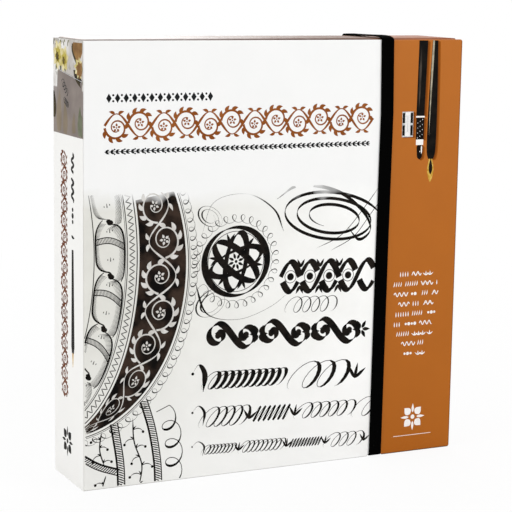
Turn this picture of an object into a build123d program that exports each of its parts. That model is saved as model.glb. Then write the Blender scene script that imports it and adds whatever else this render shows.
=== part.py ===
"""Book-style calligraphy set box: a rigid board case with a hinged cover, a tray and its contents.

All sizes are millimetres. +Z is up, the front cover faces -Y and the spine is at -X. The origin
is at the middle of the footprint, on the surface that the box stands on.
"""
from build123d import *
import os

os.makedirs("parts", exist_ok=True)

# Case: two covers and a spine of board, wrapped in printed paper
box_width = 255.0  # over the covers, along X
box_depth = 51.0  # over the covers, along Y
cover_height = 266.3
cover_board = 2.3
spine_board_thickness = 2.2
wrap_thickness = 0.4  # paper over the spine, whose front edge is the crease that hinges
crease_gap = 0.1
lining_thickness = 0.3
lining_inset = 3.0

# Tray of wrapped board, glued to the back cover and the spine
tray_board = 2.0
tray_rise = 0.7  # the tray stands this far above the covers
tray_foot = 1.6  # and this far clear of the ground, which leaves room for the elastic
fore_inset = 3.2  # the covers reach this far past the tray at the fore edge
rim_gap = 0.3  # between the tray's rim and the closed cover

# Elastic band that closes the case, and its anchors in the back cover
elastic_width = 9.0
elastic_thickness = 1.0
elastic_from_fore_edge = 55.2  # its middle, from the covers' fore edge
elastic_gap = 0.1
elastic_lift = 0.3  # over the tray's top
elastic_ground_gap = 0.25
elastic_bend = 1.3  # outside radius where it turns round the case
anchor_inset = 16.0  # from the covers' top and bottom edges to the anchor slots
slot_clearance = 0.4
clip_width = 12.0
clip_height = 4.0
clip_thickness = 0.9
notch_clearance = 0.5  # of the dents that the band sits in, each way round it

# Contents: how they are stacked
headroom = 5.0  # from the tray's rim to the contents
fit_gap = 0.3
stack_gap = 0.1

# Platform: a card panel on ribs, which lifts the contents to the cover
platform_card = 1.5
platform_rib = 3.0
platform_cross_ribs = 2

# Instruction book, note cards, envelopes and gift tags
book_side_room = 3.45  # each side of the book in its bay
book_thickness = 10.0
book_board = 1.2
page_inset = 2.5
card_width = 108.0
card_height = 155.0
card_thickness = 0.4
card_count = 6
envelope_width = 114.0
envelope_height = 162.0
envelope_thickness = 0.4
envelope_count = 6
tag_length = 62.0
tag_width = 30.0
tag_thickness = 0.5
tag_count = 6
tag_corner = 7.0
tag_hole_radius = 2.0
tag_side_gap = 3.0
tag_room = 5.8  # over the tags, which stand in the strip over the book

# Tool insert: a foam layer with a well for each tool
well_land = 5.0
well_corner = 2.0
pen_well_width = 19.0
dip_pen_well_width = 13.0
nib_well_width = 12.0
finger_room = 12.0
spare_nib_count = 3

# Cartridge pens
pen_count = 2
barrel_radius = 5.8
barrel_length = 80.0
barrel_tail_wall = 4.0
barrel_tail_round = 2.5
barrel_bore_radius = 4.6
grip_length = 24.0
grip_radius = 4.7
grip_waist_radius = 4.1
grip_bore_radius = 3.3
stub_length = 10.0
stub_gap = 0.05
cap_radius = 6.2
cap_top_radius = 5.7
cap_bore_radius = 5.0
cap_end_wall = 6.0
cap_mouth_gap = 0.3
cap_tip_room = 4.0
cap_free_travel = 2.0  # past the nib's tip, when the cap is off
cap_edge_round = 1.2
clip_strip_width = 3.2
clip_strip_thickness = 0.9
clip_strip_gap = 1.2
clip_strip_length = 38.0
clip_root_height = 4.0
clip_top_inset = 5.0

# Nibs and feeds
nib_length = 26.0
nib_seat = 6.0  # length held in the grip
nib_radius = 3.1
nib_wall = 0.4
nib_tip_width = 1.6
nib_shoulder = 9.0
nib_slit = 0.15
nib_hole_radius = 0.5
feed_length = 20.0
feed_radius = 2.6
feed_fin_count = 6
feed_fin_slot = 0.6
feed_fin_pitch = 1.6
feed_fin_depth = 0.8

# Ink cartridges
cartridge_radius = 3.7
cartridge_length = 38.0
cartridge_neck_radius = 2.4
cartridge_neck_length = 4.0
cartridge_pitch = 8.4
cartridge_count = 5
cartridge_edge_round = 0.6

# Dip pen
holder_length = 138.0
holder_tail_radius = 2.2
holder_belly_radius = 4.6
holder_front_radius = 3.9
holder_belly_share = 0.72  # of the holder's length, from its tail
ferrule_length = 14.0
ferrule_wall = 0.4
ferrule_overlap = 6.0
dip_nib_length = 30.0
dip_nib_radius = 3.2
dip_nib_tip_width = 0.8
dip_nib_shoulder = 16.0

# Pencil sharpener
sharpener_length = 25.0
sharpener_width = 15.0
sharpener_thickness = 11.0
sharpener_slope = 3.2  # drop of the blade's face from one end to the other
sharpener_mouth_radius = 4.1
sharpener_bore_tip_radius = 0.8
sharpener_bore_offset = 5.0
sharpener_grip_radius = 16.0
sharpener_grip_depth = 1.4
blade_thickness = 0.5
blade_width = 8.6
blade_length = 23.0
screw_radius = 2.4
screw_head = 0.9
screw_slot = 0.7

# ---- Places worked out from the sizes above ----
left = -box_width / 2
right = box_width / 2
front = -box_depth / 2
back = box_depth / 2
cover_inner = front + cover_board
back_inner = back - cover_board
rim = cover_inner + lining_thickness + rim_gap
floor_face = back_inner - tray_board
tray_left = left + wrap_thickness + spine_board_thickness
tray_right = right - fore_inset
tray_bottom = tray_foot
tray_top = cover_height + tray_rise
inner_left = tray_left + tray_board
inner_right = tray_right - tray_board
inner_bottom = tray_bottom + tray_board
inner_top = tray_top - tray_board

elastic_x = right - elastic_from_fore_edge
elastic_front = front - elastic_gap - elastic_thickness
elastic_back = back + elastic_gap + elastic_thickness
elastic_top = tray_top + elastic_lift + elastic_thickness
elastic_bottom = elastic_ground_gap
slot_low = anchor_inset
slot_high = cover_height - anchor_inset

card_stack = card_count * card_thickness
envelope_stack = envelope_count * envelope_thickness
contents_face = rim + headroom
layer_depth = book_thickness + card_stack + envelope_stack + 3 * stack_gap
platform_face = contents_face + layer_depth

column_widths = [pen_well_width] * pen_count + [dip_pen_well_width, nib_well_width]
insert_width = sum(column_widths) + well_land * (len(column_widths) + 1)
insert_right = inner_right - fit_gap
insert_left = insert_right - insert_width
insert_bottom = inner_bottom + fit_gap
insert_top = inner_top - fit_gap
column_left = [
    insert_left + well_land * (i + 1) + sum(column_widths[:i]) for i in range(len(column_widths))
]
low_well_bottom = insert_bottom + well_land
low_well_top = low_well_bottom + cartridge_length + finger_room
high_well_bottom = low_well_top + well_land
high_well_top = insert_top - well_land

grip_front = barrel_length + grip_length
nib_tip = grip_front + nib_length - nib_seat
cap_mouth = barrel_length + cap_mouth_gap
cap_bore_end = nib_tip + cap_tip_room
cap_end = cap_bore_end + cap_end_wall
cap_travel = nib_tip + cap_free_travel - cap_mouth
clip_reach = cap_radius + clip_strip_gap + clip_strip_thickness
pen_y = platform_face - fit_gap - cap_radius
pen_z = high_well_bottom + fit_gap
pen_side_room = (pen_well_width - cap_radius - clip_reach) / 2
pen_x = [column_left[i] + pen_side_room + cap_radius for i in range(pen_count)]

dip_x = column_left[pen_count] + dip_pen_well_width / 2
dip_y = platform_face - fit_gap - holder_belly_radius
nib_x = column_left[pen_count + 1] + nib_well_width / 2
nib_y = platform_face - fit_gap - grip_radius
nib_well_height = (
    high_well_top - high_well_bottom - well_land * (spare_nib_count - 1)
) / spare_nib_count
nib_well_bottom = [
    high_well_bottom + i * (nib_well_height + well_land) for i in range(spare_nib_count)
]

cartridge_well_width = cartridge_count * cartridge_pitch
cartridge_well_left = column_left[0] + fit_gap
cartridge_y = platform_face - fit_gap - cartridge_radius
sharpener_well_width = sharpener_width + 2 * fit_gap + well_land
sharpener_well_left = column_left[pen_count] + well_land
sharpener_x = sharpener_well_left + sharpener_well_width / 2
sharpener_y = platform_face - fit_gap
sharpener_z = low_well_bottom + fit_gap

book_left = inner_left + book_side_room
book_right = insert_left - book_side_room
book_bottom = inner_bottom + fit_gap
book_top = inner_top - tag_room - tag_width - fit_gap


def block(x, y, z):
    """A box between two corners, each axis given as (low, high)."""
    size = Box(x[1] - x[0], y[1] - y[0], z[1] - z[0])
    return Pos((x[0] + x[1]) / 2, (y[0] + y[1]) / 2, (z[0] + z[1]) / 2) * size


def turned(*points):
    """A solid of revolution about Z from (radius, height) points."""
    outline = Polyline([(r, 0, z) for r, z in points], close=True)
    return revolve(make_face(outline), axis=Axis.Z)


def rod(radius, low, high):
    """A cylinder on the Z axis from one height to another."""
    return Pos(0, 0, (low + high) / 2) * Cylinder(radius, high - low)


# ---- Case ----
def band_dent(y_low, y_high):
    """The dent that the elastic sits in, along a cover's bottom edge."""
    half = elastic_width / 2 + notch_clearance
    top = elastic_bottom + elastic_thickness + elastic_ground_gap
    return block((elastic_x - half, elastic_x + half), (y_low, y_high), (-1, top))


def front_cover():
    panel = block((left + wrap_thickness + crease_gap, right), (front, cover_inner), (0, cover_height))
    return panel - band_dent(front, cover_inner)


def cover_lining():
    return block(
        (left + wrap_thickness + crease_gap + lining_inset, right - lining_inset),
        (cover_inner, cover_inner + lining_thickness),
        (lining_inset, cover_height - lining_inset),
    )


def spine_wrap():
    return block((left, left + wrap_thickness), (front, back), (0, cover_height))


def spine_board():
    return block((left + wrap_thickness, tray_left), (rim, back_inner), (0, cover_height))


def anchor_slot(z):
    """The slot in the back cover that an end of the elastic goes through."""
    half = elastic_width / 2 + slot_clearance
    high = elastic_thickness / 2 + slot_clearance
    return block((elastic_x - half, elastic_x + half), (back_inner, back), (z - high, z + high))


def back_cover():
    panel = block((left + wrap_thickness, right), (back_inner, back), (0, cover_height))
    return panel - band_dent(back_inner, back) - anchor_slot(slot_low) - anchor_slot(slot_high)


# ---- Tray ----
def clip_pocket(z):
    """Room in the back of the tray's floor for an anchor clip."""
    half_w = clip_width / 2 + slot_clearance
    half_h = clip_height / 2 + slot_clearance
    depth = clip_thickness + slot_clearance
    return block(
        (elastic_x - half_w, elastic_x + half_w), (back_inner - depth, back_inner), (z - half_h, z + half_h)
    )


def tray_floor():
    panel = block((tray_left, tray_right), (floor_face, back_inner), (tray_bottom, tray_top))
    return panel - clip_pocket(slot_low) - clip_pocket(slot_high)


def tray_wall(x, z):
    return block(x, (rim, floor_face), z)


# ---- Elastic ----
def elastic_band():
    """A flat band from one anchor round the top, the front and the bottom to the other anchor."""
    mid_z = (elastic_top + elastic_bottom) / 2
    height = elastic_top - elastic_bottom
    depth = elastic_back - elastic_front
    thin = 2 * elastic_thickness
    across = Plane.YZ.offset(elastic_x - elastic_width / 2)
    outer = Pos(0, mid_z) * RectangleRounded(depth, height, elastic_bend)
    inner = Pos(0, mid_z) * RectangleRounded(depth - thin, height - thin, elastic_bend - elastic_thickness)
    loop = extrude(across * (outer - inner), elastic_width)
    x = (elastic_x - elastic_width / 2, elastic_x + elastic_width / 2)
    half = elastic_thickness / 2
    open_back = block(x, (back, elastic_back), (slot_low + half, slot_high - half))
    ends = [block(x, (back_inner, elastic_back - half), (z - half, z + half)) for z in (slot_low, slot_high)]
    return loop - open_back + ends


def elastic_clip(z):
    """A crimped bar that holds an end of the elastic behind the back cover."""
    bar = Box(clip_width, clip_thickness, clip_height)
    edges = bar.edges().filter_by(Axis.Y)
    return Pos(elastic_x, back_inner - clip_thickness / 2, z) * fillet(edges, clip_thickness)


# ---- Insert ----
def platform_panel():
    return block(
        (inner_left + fit_gap, inner_right - fit_gap),
        (platform_face, platform_face + platform_card),
        (insert_bottom, insert_top),
    )


def platform_ribs():
    """A frame of card strips on edge between the panel and the tray's floor, with cross ribs."""
    x = (inner_left + fit_gap, inner_right - fit_gap)
    y = (platform_face + platform_card, floor_face)
    z = (insert_bottom, insert_top)
    inside_z = (z[0] + platform_rib, z[1] - platform_rib)
    ribs = [block(x, y, (z[0], inside_z[0])), block(x, y, (inside_z[1], z[1]))]
    pitch = (x[1] - x[0] - platform_rib) / (platform_cross_ribs + 1)
    for i in range(platform_cross_ribs + 2):
        rib_left = x[0] + i * pitch
        ribs.append(block((rib_left, rib_left + platform_rib), y, inside_z))
    return Compound(children=ribs)


def well(x_left, width, bottom, top):
    """A rounded window through the tool insert."""
    window = RectangleRounded(width, top - bottom, well_corner)
    place = Plane.XZ.offset(-platform_face)
    return extrude(place * (Pos(x_left + width / 2, (bottom + top) / 2) * window), layer_depth)


def tool_insert():
    body = block((insert_left, insert_right), (contents_face, platform_face), (insert_bottom, insert_top))
    for i, width in enumerate(column_widths[:-1]):
        body -= well(column_left[i], width, high_well_bottom, high_well_top)
    for bottom in nib_well_bottom:
        body -= well(column_left[-1], nib_well_width, bottom, bottom + nib_well_height)
    body -= well(column_left[0], cartridge_well_width + 2 * fit_gap, low_well_bottom, low_well_top)
    body -= well(sharpener_well_left, sharpener_well_width, low_well_bottom, low_well_top)
    return body


# ---- Paper goods ----
def book_cover():
    """Two boards and a spine, open along the other three edges."""
    x = (book_left, book_right)
    y = (contents_face, contents_face + book_thickness)
    case = block(x, y, (book_bottom, book_top))
    inside = block(
        (x[0] + book_board, x[1]), (y[0] + book_board, y[1] - book_board), (book_bottom, book_top)
    )
    return case - inside


def book_pages():
    return block(
        (book_left + book_board, book_right - page_inset),
        (contents_face + book_board, contents_face + book_thickness - book_board),
        (book_bottom + page_inset, book_top - page_inset),
    )


def sheets(width, height, thickness, count, face):
    """A stack of flat sheets behind the book, standing on the tray's bottom wall."""
    middle = (book_left + book_right) / 2
    x = (middle - width / 2, middle + width / 2)
    z = (book_bottom, book_bottom + height)
    spare = stack_gap / count
    return Compound(
        children=[
            block(x, (face + i * thickness + spare, face + (i + 1) * thickness), z) for i in range(count)
        ]
    )


def gift_tag():
    """A tag with two cut corners and a string hole, lying on its back at the origin."""
    outline = Rectangle(tag_length, tag_width)
    outline = chamfer(outline.vertices().group_by(Axis.X)[-1], tag_corner)
    outline -= Pos(tag_length / 2 - tag_corner, 0) * Circle(tag_hole_radius)
    return extrude(Plane.XZ * outline, tag_thickness - stack_gap / tag_count)


def gift_tags():
    """A stack of tags that stands on the book's top edge."""
    x = inner_left + tag_side_gap + tag_length / 2
    z = book_top + fit_gap + tag_width / 2
    return Compound(
        children=[Pos(x, platform_face - i * tag_thickness, z) * gift_tag() for i in range(tag_count)]
    )


# ---- Pens: each piece is made with the pen's tail at the origin and its axis along Z ----
def barrel():
    tube = rod(barrel_radius, 0, barrel_length)
    tube = fillet(tube.edges().sort_by(Axis.Z)[0], barrel_tail_round)
    return tube - rod(barrel_bore_radius, barrel_tail_wall, barrel_length)


def grip(base):
    """A waisted grip section, whose stub goes into a barrel that ends at height base."""
    stub = barrel_bore_radius - stub_gap
    top = base + grip_length
    waist = Spline(
        (grip_radius, 0, base), (grip_waist_radius, 0, base + grip_length / 2), (grip_radius, 0, top)
    )
    rest = Polyline(
        (grip_radius, 0, top),
        (grip_bore_radius, 0, top),
        (grip_bore_radius, 0, base - stub_length),
        (stub, 0, base - stub_length),
        (stub, 0, base),
        (grip_radius, 0, base),
    )
    return revolve(make_face(waist + rest), axis=Axis.Z)


def writing_nib(length, radius, tip_width, shoulder):
    """A curved metal nib that points up, with its back edge at height 0.

    A half tube is cut to the nib's outline, then split and pierced.
    """
    shell = rod(radius, 0, length) - rod(radius - nib_wall, 0, length)
    half = tip_width / 2
    outline = Polyline(
        (-radius, 0), (radius, 0), (radius, length - shoulder), (half, length), (-half, length),
        (-radius, length - shoulder), close=True,
    )
    front_half = extrude(Plane.XZ * make_face(outline), radius)
    slit = block((-nib_slit / 2, nib_slit / 2), (-radius, 0), (length - shoulder, length))
    hole = Pos(0, -radius, length - shoulder) * Rot(90, 0, 0) * Cylinder(nib_hole_radius, 2 * radius)
    return (shell & front_half) - slit - hole


def feed():
    """The ink feed under the nib: a half-round bar with fins."""
    low = grip_front - nib_seat
    bar = rod(feed_radius, low, low + feed_length)
    bar -= block((-feed_radius, feed_radius), (0, feed_radius), (low, low + feed_length))
    bar = Rot(0, 0, 180) * bar
    for i in range(feed_fin_count):
        z = grip_front + feed_fin_pitch * (i + 0.5)
        bar -= block(
            (-feed_radius, feed_radius), (feed_radius - feed_fin_depth, feed_radius), (z, z + feed_fin_slot)
        )
    return bar


def cap():
    shell = turned(
        (0, cap_bore_end), (cap_bore_radius, cap_bore_end), (cap_bore_radius, cap_mouth),
        (cap_radius, cap_mouth), (cap_top_radius, cap_end), (0, cap_end),
    )
    return fillet(shell.edges().sort_by(Axis.Z)[-1], cap_edge_round)


def pocket_clip():
    """A sprung strip beside the cap, joined to it near the cap's end."""
    top = cap_end - clip_top_inset
    half = clip_strip_width / 2
    strip = block((clip_reach - clip_strip_thickness, clip_reach), (-half, half), (top - clip_strip_length, top))
    root = block((cap_top_radius, clip_reach), (-half, half), (top - clip_root_height, top))
    toe = Pos(clip_reach - clip_strip_thickness, 0, top - clip_strip_length + half) * Sphere(half / 2)
    seat = rod(cap_radius, top - clip_strip_length, top)
    return strip + (root - seat) + toe


def cartridge():
    """A sealed ink cartridge with its neck up and its foot at height 0."""
    shoulder = cartridge_length - cartridge_neck_length
    body = rod(cartridge_radius, 0, shoulder)
    body = fillet(body.edges().filter_by(GeomType.CIRCLE), cartridge_edge_round)
    return body + rod(cartridge_neck_radius, shoulder - cartridge_edge_round, cartridge_length)


# ---- Dip pen, tail at the origin ----
def dip_holder():
    belly = holder_length * holder_belly_share
    side = Spline(
        (holder_tail_radius, 0, 0), (holder_belly_radius, 0, belly), (holder_front_radius, 0, holder_length)
    )
    rest = Polyline(
        (holder_front_radius, 0, holder_length), (0, 0, holder_length), (0, 0, 0), (holder_tail_radius, 0, 0)
    )
    solid = revolve(make_face(side + rest), axis=Axis.Z)
    seat = rod(holder_belly_radius + 1, holder_length - ferrule_overlap, holder_length)
    core = rod(dip_nib_radius, holder_length - ferrule_overlap, holder_length)
    return solid - (seat - core)


def ferrule():
    low = holder_length - ferrule_overlap
    outer = holder_front_radius
    return rod(outer, low, low + ferrule_length) - rod(outer - ferrule_wall, low, low + ferrule_length)


# ---- Sharpener, with its back face on the platform and its mouth at the bottom ----
def sharpener_body():
    half = sharpener_width / 2
    side = Polyline(
        (0, 0), (-sharpener_thickness, 0), (-sharpener_thickness + sharpener_slope, sharpener_length),
        (0, sharpener_length), close=True,
    )
    body = extrude(Plane.YZ.offset(-half) * make_face(side), sharpener_width)
    reach = half + sharpener_grip_radius - sharpener_grip_depth
    for side_sign in (-1, 1):
        hollow = Pos(side_sign * reach, 0, sharpener_length / 2) * Rot(90, 0, 0)
        body -= hollow * Cylinder(sharpener_grip_radius, 4 * sharpener_thickness)
    bore = turned(
        (0, 0), (sharpener_mouth_radius, 0), (sharpener_bore_tip_radius, sharpener_length), (0, sharpener_length)
    )
    return body - Pos(0, -sharpener_bore_offset, 0) * bore


def on_blade_face(shape, z):
    """Puts a shape made on the XY plane onto the sharpener's sloping face at a height."""
    slope = sharpener_slope / sharpener_length
    face = Plane(origin=(0, -sharpener_thickness + slope * z, z), x_dir=(1, 0, 0), z_dir=(0, -1, slope))
    return face * shape


def sharpener_blade():
    plate = Box(blade_width, blade_length, blade_thickness, align=(Align.CENTER, Align.CENTER, Align.MIN))
    plate -= Cylinder(screw_radius / 2 + stack_gap, 4 * blade_thickness)
    return on_blade_face(plate, sharpener_length / 2)


def sharpener_screw():
    head = Pos(0, 0, blade_thickness) * Cylinder(
        screw_radius, screw_head, align=(Align.CENTER, Align.CENTER, Align.MIN)
    )
    slot = Pos(0, 0, blade_thickness + screw_head) * Box(2 * screw_radius, screw_slot, screw_head)
    shank = Cylinder(screw_radius / 2, blade_thickness, align=(Align.CENTER, Align.CENTER, Align.MIN))
    return on_blade_face(head - slot + shank, sharpener_length / 2)


# ---- Every node, in place ----
nodes = {
    "front_cover": front_cover(),
    "cover_lining": cover_lining(),
    "spine_wrap": spine_wrap(),
    "spine_board": spine_board(),
    "back_cover": back_cover(),
    "tray_floor": tray_floor(),
    "tray_wall_top": tray_wall((tray_left, tray_right), (inner_top, tray_top)),
    "tray_wall_bottom": tray_wall((tray_left, tray_right), (tray_bottom, inner_bottom)),
    "tray_wall_spine": tray_wall((tray_left, inner_left), (inner_bottom, inner_top)),
    "tray_wall_fore": tray_wall((inner_right, tray_right), (inner_bottom, inner_top)),
    "elastic_band": elastic_band(),
    "elastic_clip_top": elastic_clip(slot_high),
    "elastic_clip_bottom": elastic_clip(slot_low),
    "platform_panel": platform_panel(),
    "platform_ribs": platform_ribs(),
    "tool_insert": tool_insert(),
    "book_cover": book_cover(),
    "book_pages": book_pages(),
    "note_cards": sheets(
        card_width, card_height, card_thickness, card_count, contents_face + book_thickness + stack_gap
    ),
    "envelopes": sheets(
        envelope_width, envelope_height, envelope_thickness, envelope_count,
        platform_face - stack_gap - envelope_stack,
    ),
    "gift_tags": gift_tags(),
}

pen_nib = Pos(0, 0, grip_front - nib_seat) * writing_nib(nib_length, nib_radius, nib_tip_width, nib_shoulder)
cartridge_in_pen = Pos(0, 0, barrel_length - stub_length - cartridge_length - stack_gap) * cartridge()
pen_pieces = {
    "barrel": barrel(),
    "grip": grip(barrel_length),
    "nib": pen_nib,
    "feed": feed(),
    "cartridge": cartridge_in_pen,
    "cap": cap(),
    "clip": pocket_clip(),
}
for i in range(pen_count):
    for name, piece in pen_pieces.items():
        nodes[f"pen_{i + 1}_{name}"] = Pos(pen_x[i], pen_y, pen_z) * piece

for i in range(spare_nib_count):
    place = Pos(nib_x, nib_y, nib_well_bottom[i] + fit_gap)
    nodes[f"spare_grip_{i + 1}"] = place * grip(stub_length)
    nodes[f"spare_nib_{i + 1}"] = place * Pos(0, 0, stub_length - barrel_length) * pen_nib

for i in range(cartridge_count):
    x = cartridge_well_left + cartridge_pitch * (i + 0.5)
    nodes[f"ink_cartridge_{i + 1}"] = Pos(x, cartridge_y, low_well_bottom + fit_gap) * cartridge()

dip_place = Pos(dip_x, dip_y, high_well_bottom + fit_gap)
nodes["dip_pen_holder"] = dip_place * dip_holder()
nodes["dip_pen_ferrule"] = dip_place * ferrule()
nodes["dip_pen_nib"] = dip_place * Pos(0, 0, holder_length) * writing_nib(
    dip_nib_length, dip_nib_radius, dip_nib_tip_width, dip_nib_shoulder
)

sharpener_place = Pos(sharpener_x, sharpener_y, sharpener_z)
nodes["sharpener_body"] = sharpener_place * sharpener_body()
nodes["sharpener_blade"] = sharpener_place * sharpener_blade()
nodes["sharpener_screw"] = sharpener_place * sharpener_screw()

for name, shape in nodes.items():
    export_step(shape, f"parts/{name}.step")
print(len(nodes), "nodes; cap travel", round(cap_travel, 2), "pen length", round(cap_end, 2))
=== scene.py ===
# %% [markdown]
# # A calligraphy set box, dressed for the camera
# The real object is a rigid board box made like a book: a printed cover that opens on its spine, a
# tray glued to the back cover, a black elastic band round all of it, and pens, nibs and paper goods
# inside. The construction comes in as a fixed frame of solids. This script gives it skins of printed
# paper, a woven band, and finishes worked out from real sizes. All lengths below are millimetres.

# %% Load the frame
import bmesh
import bpy
import numpy as np
from mathutils import Matrix, Vector


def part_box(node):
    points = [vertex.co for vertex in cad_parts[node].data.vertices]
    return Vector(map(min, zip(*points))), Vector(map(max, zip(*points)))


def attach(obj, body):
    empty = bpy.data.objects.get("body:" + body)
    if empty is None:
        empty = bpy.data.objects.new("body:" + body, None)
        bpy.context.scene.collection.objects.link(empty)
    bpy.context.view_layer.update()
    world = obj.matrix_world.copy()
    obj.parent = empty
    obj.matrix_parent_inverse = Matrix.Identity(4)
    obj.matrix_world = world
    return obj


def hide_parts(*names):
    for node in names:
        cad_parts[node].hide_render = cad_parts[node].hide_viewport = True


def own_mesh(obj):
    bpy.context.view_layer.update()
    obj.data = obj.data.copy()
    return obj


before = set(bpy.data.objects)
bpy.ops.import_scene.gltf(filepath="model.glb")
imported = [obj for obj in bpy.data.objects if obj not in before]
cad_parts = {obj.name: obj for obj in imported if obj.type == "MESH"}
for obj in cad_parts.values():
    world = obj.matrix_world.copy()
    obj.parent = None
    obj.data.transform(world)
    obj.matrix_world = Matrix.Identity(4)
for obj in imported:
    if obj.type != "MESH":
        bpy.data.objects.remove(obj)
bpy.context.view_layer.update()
MM = 0.001


# %% Sizes taken from the frame
def reach(node):
    """Lowest and highest corner of a node of the frame, in mm."""
    low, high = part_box(node)
    return np.array(low) / MM, np.array(high) / MM


cover_low, cover_high = reach("front_cover")
back_low, back_high = reach("back_cover")
spine_low, spine_high = reach("spine_wrap")
tray_low = np.minimum(reach("tray_floor")[0], reach("tray_wall_bottom")[0])
tray_high = np.maximum(reach("tray_floor")[1], reach("tray_wall_top")[1])
band_low, band_high = reach("elastic_band")
FRONT = cover_low[1]
BACK = back_high[1]
SPINE = spine_low[0]
FORE = cover_high[0]
HEIGHT = cover_high[2]
BAND_X = (band_low[0] + band_high[0]) / 2
print(f"case: {FORE - SPINE:.1f} x {BACK - FRONT:.1f} x {HEIGHT:.1f} mm, band at x {BAND_X:.1f}")

# %% [markdown]
# ## Camera
# The box is seen from its front left, a little above its top edge, so that the spine is a narrow
# strip and the top is a line. The camera's frame is built from three angles: yaw turns it round the
# box, pitch tips it down, and roll leans it by under a degree.

# %% Camera
YAW, PITCH, ROLL = np.radians([25.755, 9.484, 0.867])
CAMERA_AT = Vector((-0.4615, -0.9497, 0.3070))
FOCAL_PIXELS = 1704.9
IMAGE_PIXELS = 512
SENSOR = 36.0

forward = Vector((np.sin(YAW) * np.cos(PITCH), np.cos(YAW) * np.cos(PITCH), -np.sin(PITCH)))
level = Vector((np.cos(YAW), -np.sin(YAW), 0))
upright = level.cross(forward)
right_axis = level * np.cos(ROLL) + upright * np.sin(ROLL)
up_axis = upright * np.cos(ROLL) - level * np.sin(ROLL)

camera = bpy.data.objects.new("camera", bpy.data.cameras.new("camera"))
bpy.context.collection.objects.link(camera)
camera.data.lens = FOCAL_PIXELS / IMAGE_PIXELS * SENSOR
camera.data.sensor_width = SENSOR
camera_turn = Matrix((right_axis, up_axis, -forward)).transposed().to_4x4()
camera.matrix_world = Matrix.Translation(CAMERA_AT) @ camera_turn
bpy.context.scene.camera = camera
print(f"camera: {camera.data.lens:.0f} mm lens, {CAMERA_AT.length:.2f} m from the box")


# %% [markdown]
# ## Helpers that every material uses
# Colours are written as the sRGB hex that a paint program shows, and the renderer works in linear
# light, so `linear` converts them. `add` makes a node with its settings and its links in one line.
# The others are recipes of several nodes that most finishes repeat: the start of a material, its
# coordinates in millimetres, and a colour that changes while a coordinate or a noise rises.

# %% Colour and node helpers
def linear(code):
    """Linear colour of an sRGB hex: c/12.92 below 0.04045, else ((c + 0.055)/1.055)^2.4."""
    srgb = np.array([int(code[i : i + 2], 16) for i in (1, 3, 5)]) / 255
    light = np.where(srgb <= 0.04045, srgb / 12.92, ((srgb + 0.055) / 1.055) ** 2.4)
    return (*light.tolist(), 1.0)


def add(tree, kind, sockets=None, **settings):
    """Add a node: settings are its properties, sockets its inputs, each a value or another's output."""
    node = tree.nodes.new(kind)
    for name, value in settings.items():
        setattr(node, name, value)
    for name, value in (sockets or {}).items():
        if isinstance(value, bpy.types.NodeSocket):
            tree.links.new(value, node.inputs[name])
        else:
            node.inputs[name].default_value = value
    return node


def begin(name, fixed):
    """Start a material. Returns it, its node tree, its shader's inputs and Object coordinates."""
    made = bpy.data.materials.new(name)
    made.use_nodes = True
    tree = made.node_tree
    tree.nodes.clear()
    shader = add(tree, "ShaderNodeBsdfPrincipled", fixed)
    add(tree, "ShaderNodeOutputMaterial", {"Surface": shader.outputs["BSDF"]})
    place = add(tree, "ShaderNodeTexCoord").outputs["Object"]
    return made, tree, shader.inputs, place


def in_mm(tree, place):
    """Object coordinates in millimetres, as three sockets: a vector scale, then a split."""
    scaled = add(tree, "ShaderNodeVectorMath", {"Vector": place, "Scale": 1 / MM}, operation="SCALE")
    return list(add(tree, "ShaderNodeSeparateXYZ", {"Vector": scaled.outputs["Vector"]}).outputs)


def shade(tree, value, low, high, first, second, share=(0.0, 1.0)):
    """Colour that goes from first to second while value goes from low to high: a range, then a mix.
    Each colour is a hex or a socket, and share is how much of the second there is at either end."""
    span = {"Value": value, "From Min": low, "From Max": high, "To Min": share[0], "To Max": share[1]}
    amount = add(tree, "ShaderNodeMapRange", span).outputs["Result"]
    sides = [linear(c) if isinstance(c, str) else c for c in (first, second)]
    mixed = add(tree, "ShaderNodeMixRGB", {"Fac": amount, "Color1": sides[0], "Color2": sides[1]})
    return mixed.outputs["Color"]


def mottle(tree, place, scale, detail, span, first, second, share=(0.0, 1.0), harsh=0.5):
    """Colour that a noise moves from first to second over a span of its values: a noise, then a shade."""
    noise = {"Vector": place, "Scale": scale, "Detail": detail, "Roughness": harsh}
    noise = add(tree, "ShaderNodeTexNoise", noise)
    return shade(tree, noise.outputs["Fac"], *span, first, second, share)


print("helpers ready; mid grey #808080 is", round(linear("#808080")[0], 3), "in linear light")


# %% [markdown]
# ## Meshes from arrays
# Every new piece is worked out as whole numpy arrays and handed over once. Closed shells made of
# grids are joined along their borders, so the doubles are merged and the normals turned outwards
# before the piece gets its materials.

# %% Mesh helpers
SHARP_ANGLE = np.radians(50)


def line_of(*coordinates):
    """A line of points from its coordinates, each an array or one number that is repeated."""
    return np.column_stack(np.broadcast_arrays(*coordinates))


def polar(angle, wide=1.0, tall=None):
    """Points (wide·cos a, tall·sin a) for angles in radians, on a circle if tall is left out."""
    tall = wide if tall is None else tall
    return line_of(wide * np.cos(angle), tall * np.sin(angle))


def grid_faces(rows, columns, around=False, start=0):
    """Quads of a rows x columns grid of points; around joins the last column to the first."""
    last = columns if around else columns - 1
    row, column = np.meshgrid(np.arange(rows - 1), np.arange(last), indexing="ij")
    here, after = row * columns + column, row * columns + (column + 1) % columns
    return start + np.stack([here, after, after + columns, here + columns], -1).reshape(-1, 4)


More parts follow.
